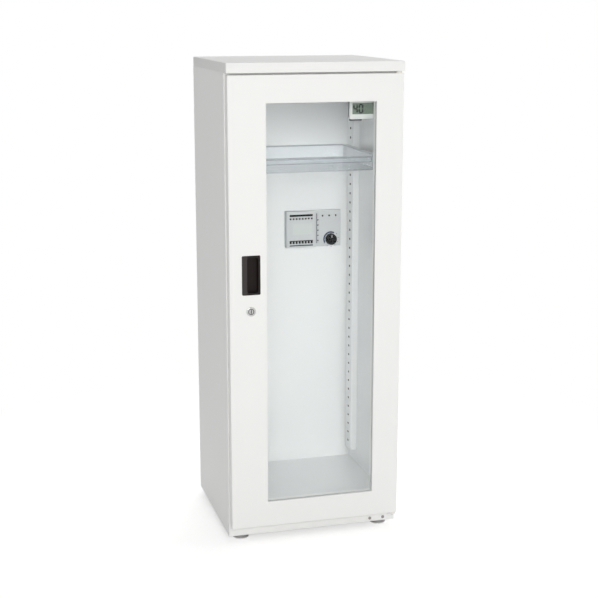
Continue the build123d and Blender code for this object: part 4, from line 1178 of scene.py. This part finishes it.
join(tree, choose.outputs[0], tree.nodes["Material Output"].inputs["Surface"])
floor_mesh = bpy.data.meshes.new("floor")
floor_mesh.from_pydata(
    [(-REACH, -REACH, 0), (REACH, -REACH, 0), (REACH, REACH, 0), (-REACH, REACH, 0)],
    [],
    [(0, 1, 2, 3)],
)
floor = bpy.data.objects.new("floor", floor_mesh)
bpy.context.scene.collection.objects.link(floor)
dress(floor, floor_material)
print("world and floor made")

# %% [markdown]
# Soft boxes do the rest. The key stands in front, near the camera's line of sight, so
# that it reaches the back wall through the window. A weaker one on each side models the
# body, one above lights the cover, and one behind keeps the back readable. The front is
# then the brightest face, the top comes next and the left side is a light grey.

# %% Lamps


def soft_box(name, spot, target, size, power, colour=(1.0, 1.0, 1.0)):
    """A square area lamp at a spot that looks at a target."""
    data = bpy.data.lights.new(name, "AREA")
    data.shape = "SQUARE"
    data.size = size
    data.energy = power
    data.color = colour
    lamp = bpy.data.objects.new(name, data)
    bpy.context.scene.collection.objects.link(lamp)
    lamp.location = spot
    lamp.rotation_euler = (Vector(target) - Vector(spot)).to_track_quat("-Z", "Y").to_euler()
    return lamp


MIDDLE = (0.0, 0.0, 0.6)
lamps = [
    soft_box("key", (-0.7, -3.85, 1.62), MIDDLE, 1.3, 63.5, (1.0, 0.994, 0.972)),
    soft_box("left", (-3.0, -0.9, 1.5), MIDDLE, 1.5, 0.5, (0.985, 0.99, 1.0)),
    soft_box("right", (3.0, -0.6, 1.6), MIDDLE, 1.5, 16.0),
    soft_box("top", (0.2, 0.3, 3.4), (0.0, 0.0, 1.2), 1.5, 11.0),
    soft_box("back", (0.9, 3.4, 1.8), MIDDLE, 1.6, 40.0),
]
for lamp in lamps:
    # the lamps above and behind light things but leave no mirror image
    lamp.visible_glossy = lamp.name not in ("top", "back")
print("lamps:", {lamp.name: lamp.data.energy for lamp in lamps})

# %% [markdown]
# The camera comes from the photograph: the corners of the cover, the door and the window
# were matched to the CAD corners, which gives its place, its turn and its lens. It looks
# a little down and to the right, from the left of the cabinet and a little above it.

# %% Camera
CAMERA_PLACE = (-0.8593, -3.1382, 1.3218)
CAMERA_YAW = 0.2703
CAMERA_PITCH = -0.2241
FOCAL_PIXELS = 1283.6
PHOTO_PIXELS = 598
SENSOR_WIDTH = 36.0
camera_data = bpy.data.cameras.new("camera")
camera = bpy.data.objects.new("camera", camera_data)
bpy.context.scene.collection.objects.link(camera)
camera.location = CAMERA_PLACE
camera.rotation_euler = (math.pi / 2 + CAMERA_PITCH, 0.0, -CAMERA_YAW)
camera_data.sensor_width = SENSOR_WIDTH
camera_data.lens = SENSOR_WIDTH * FOCAL_PIXELS / PHOTO_PIXELS
bpy.context.scene.camera = camera
bpy.context.scene.view_settings.view_transform = "Standard"
print("lens", round(camera_data.lens, 1), "mm")
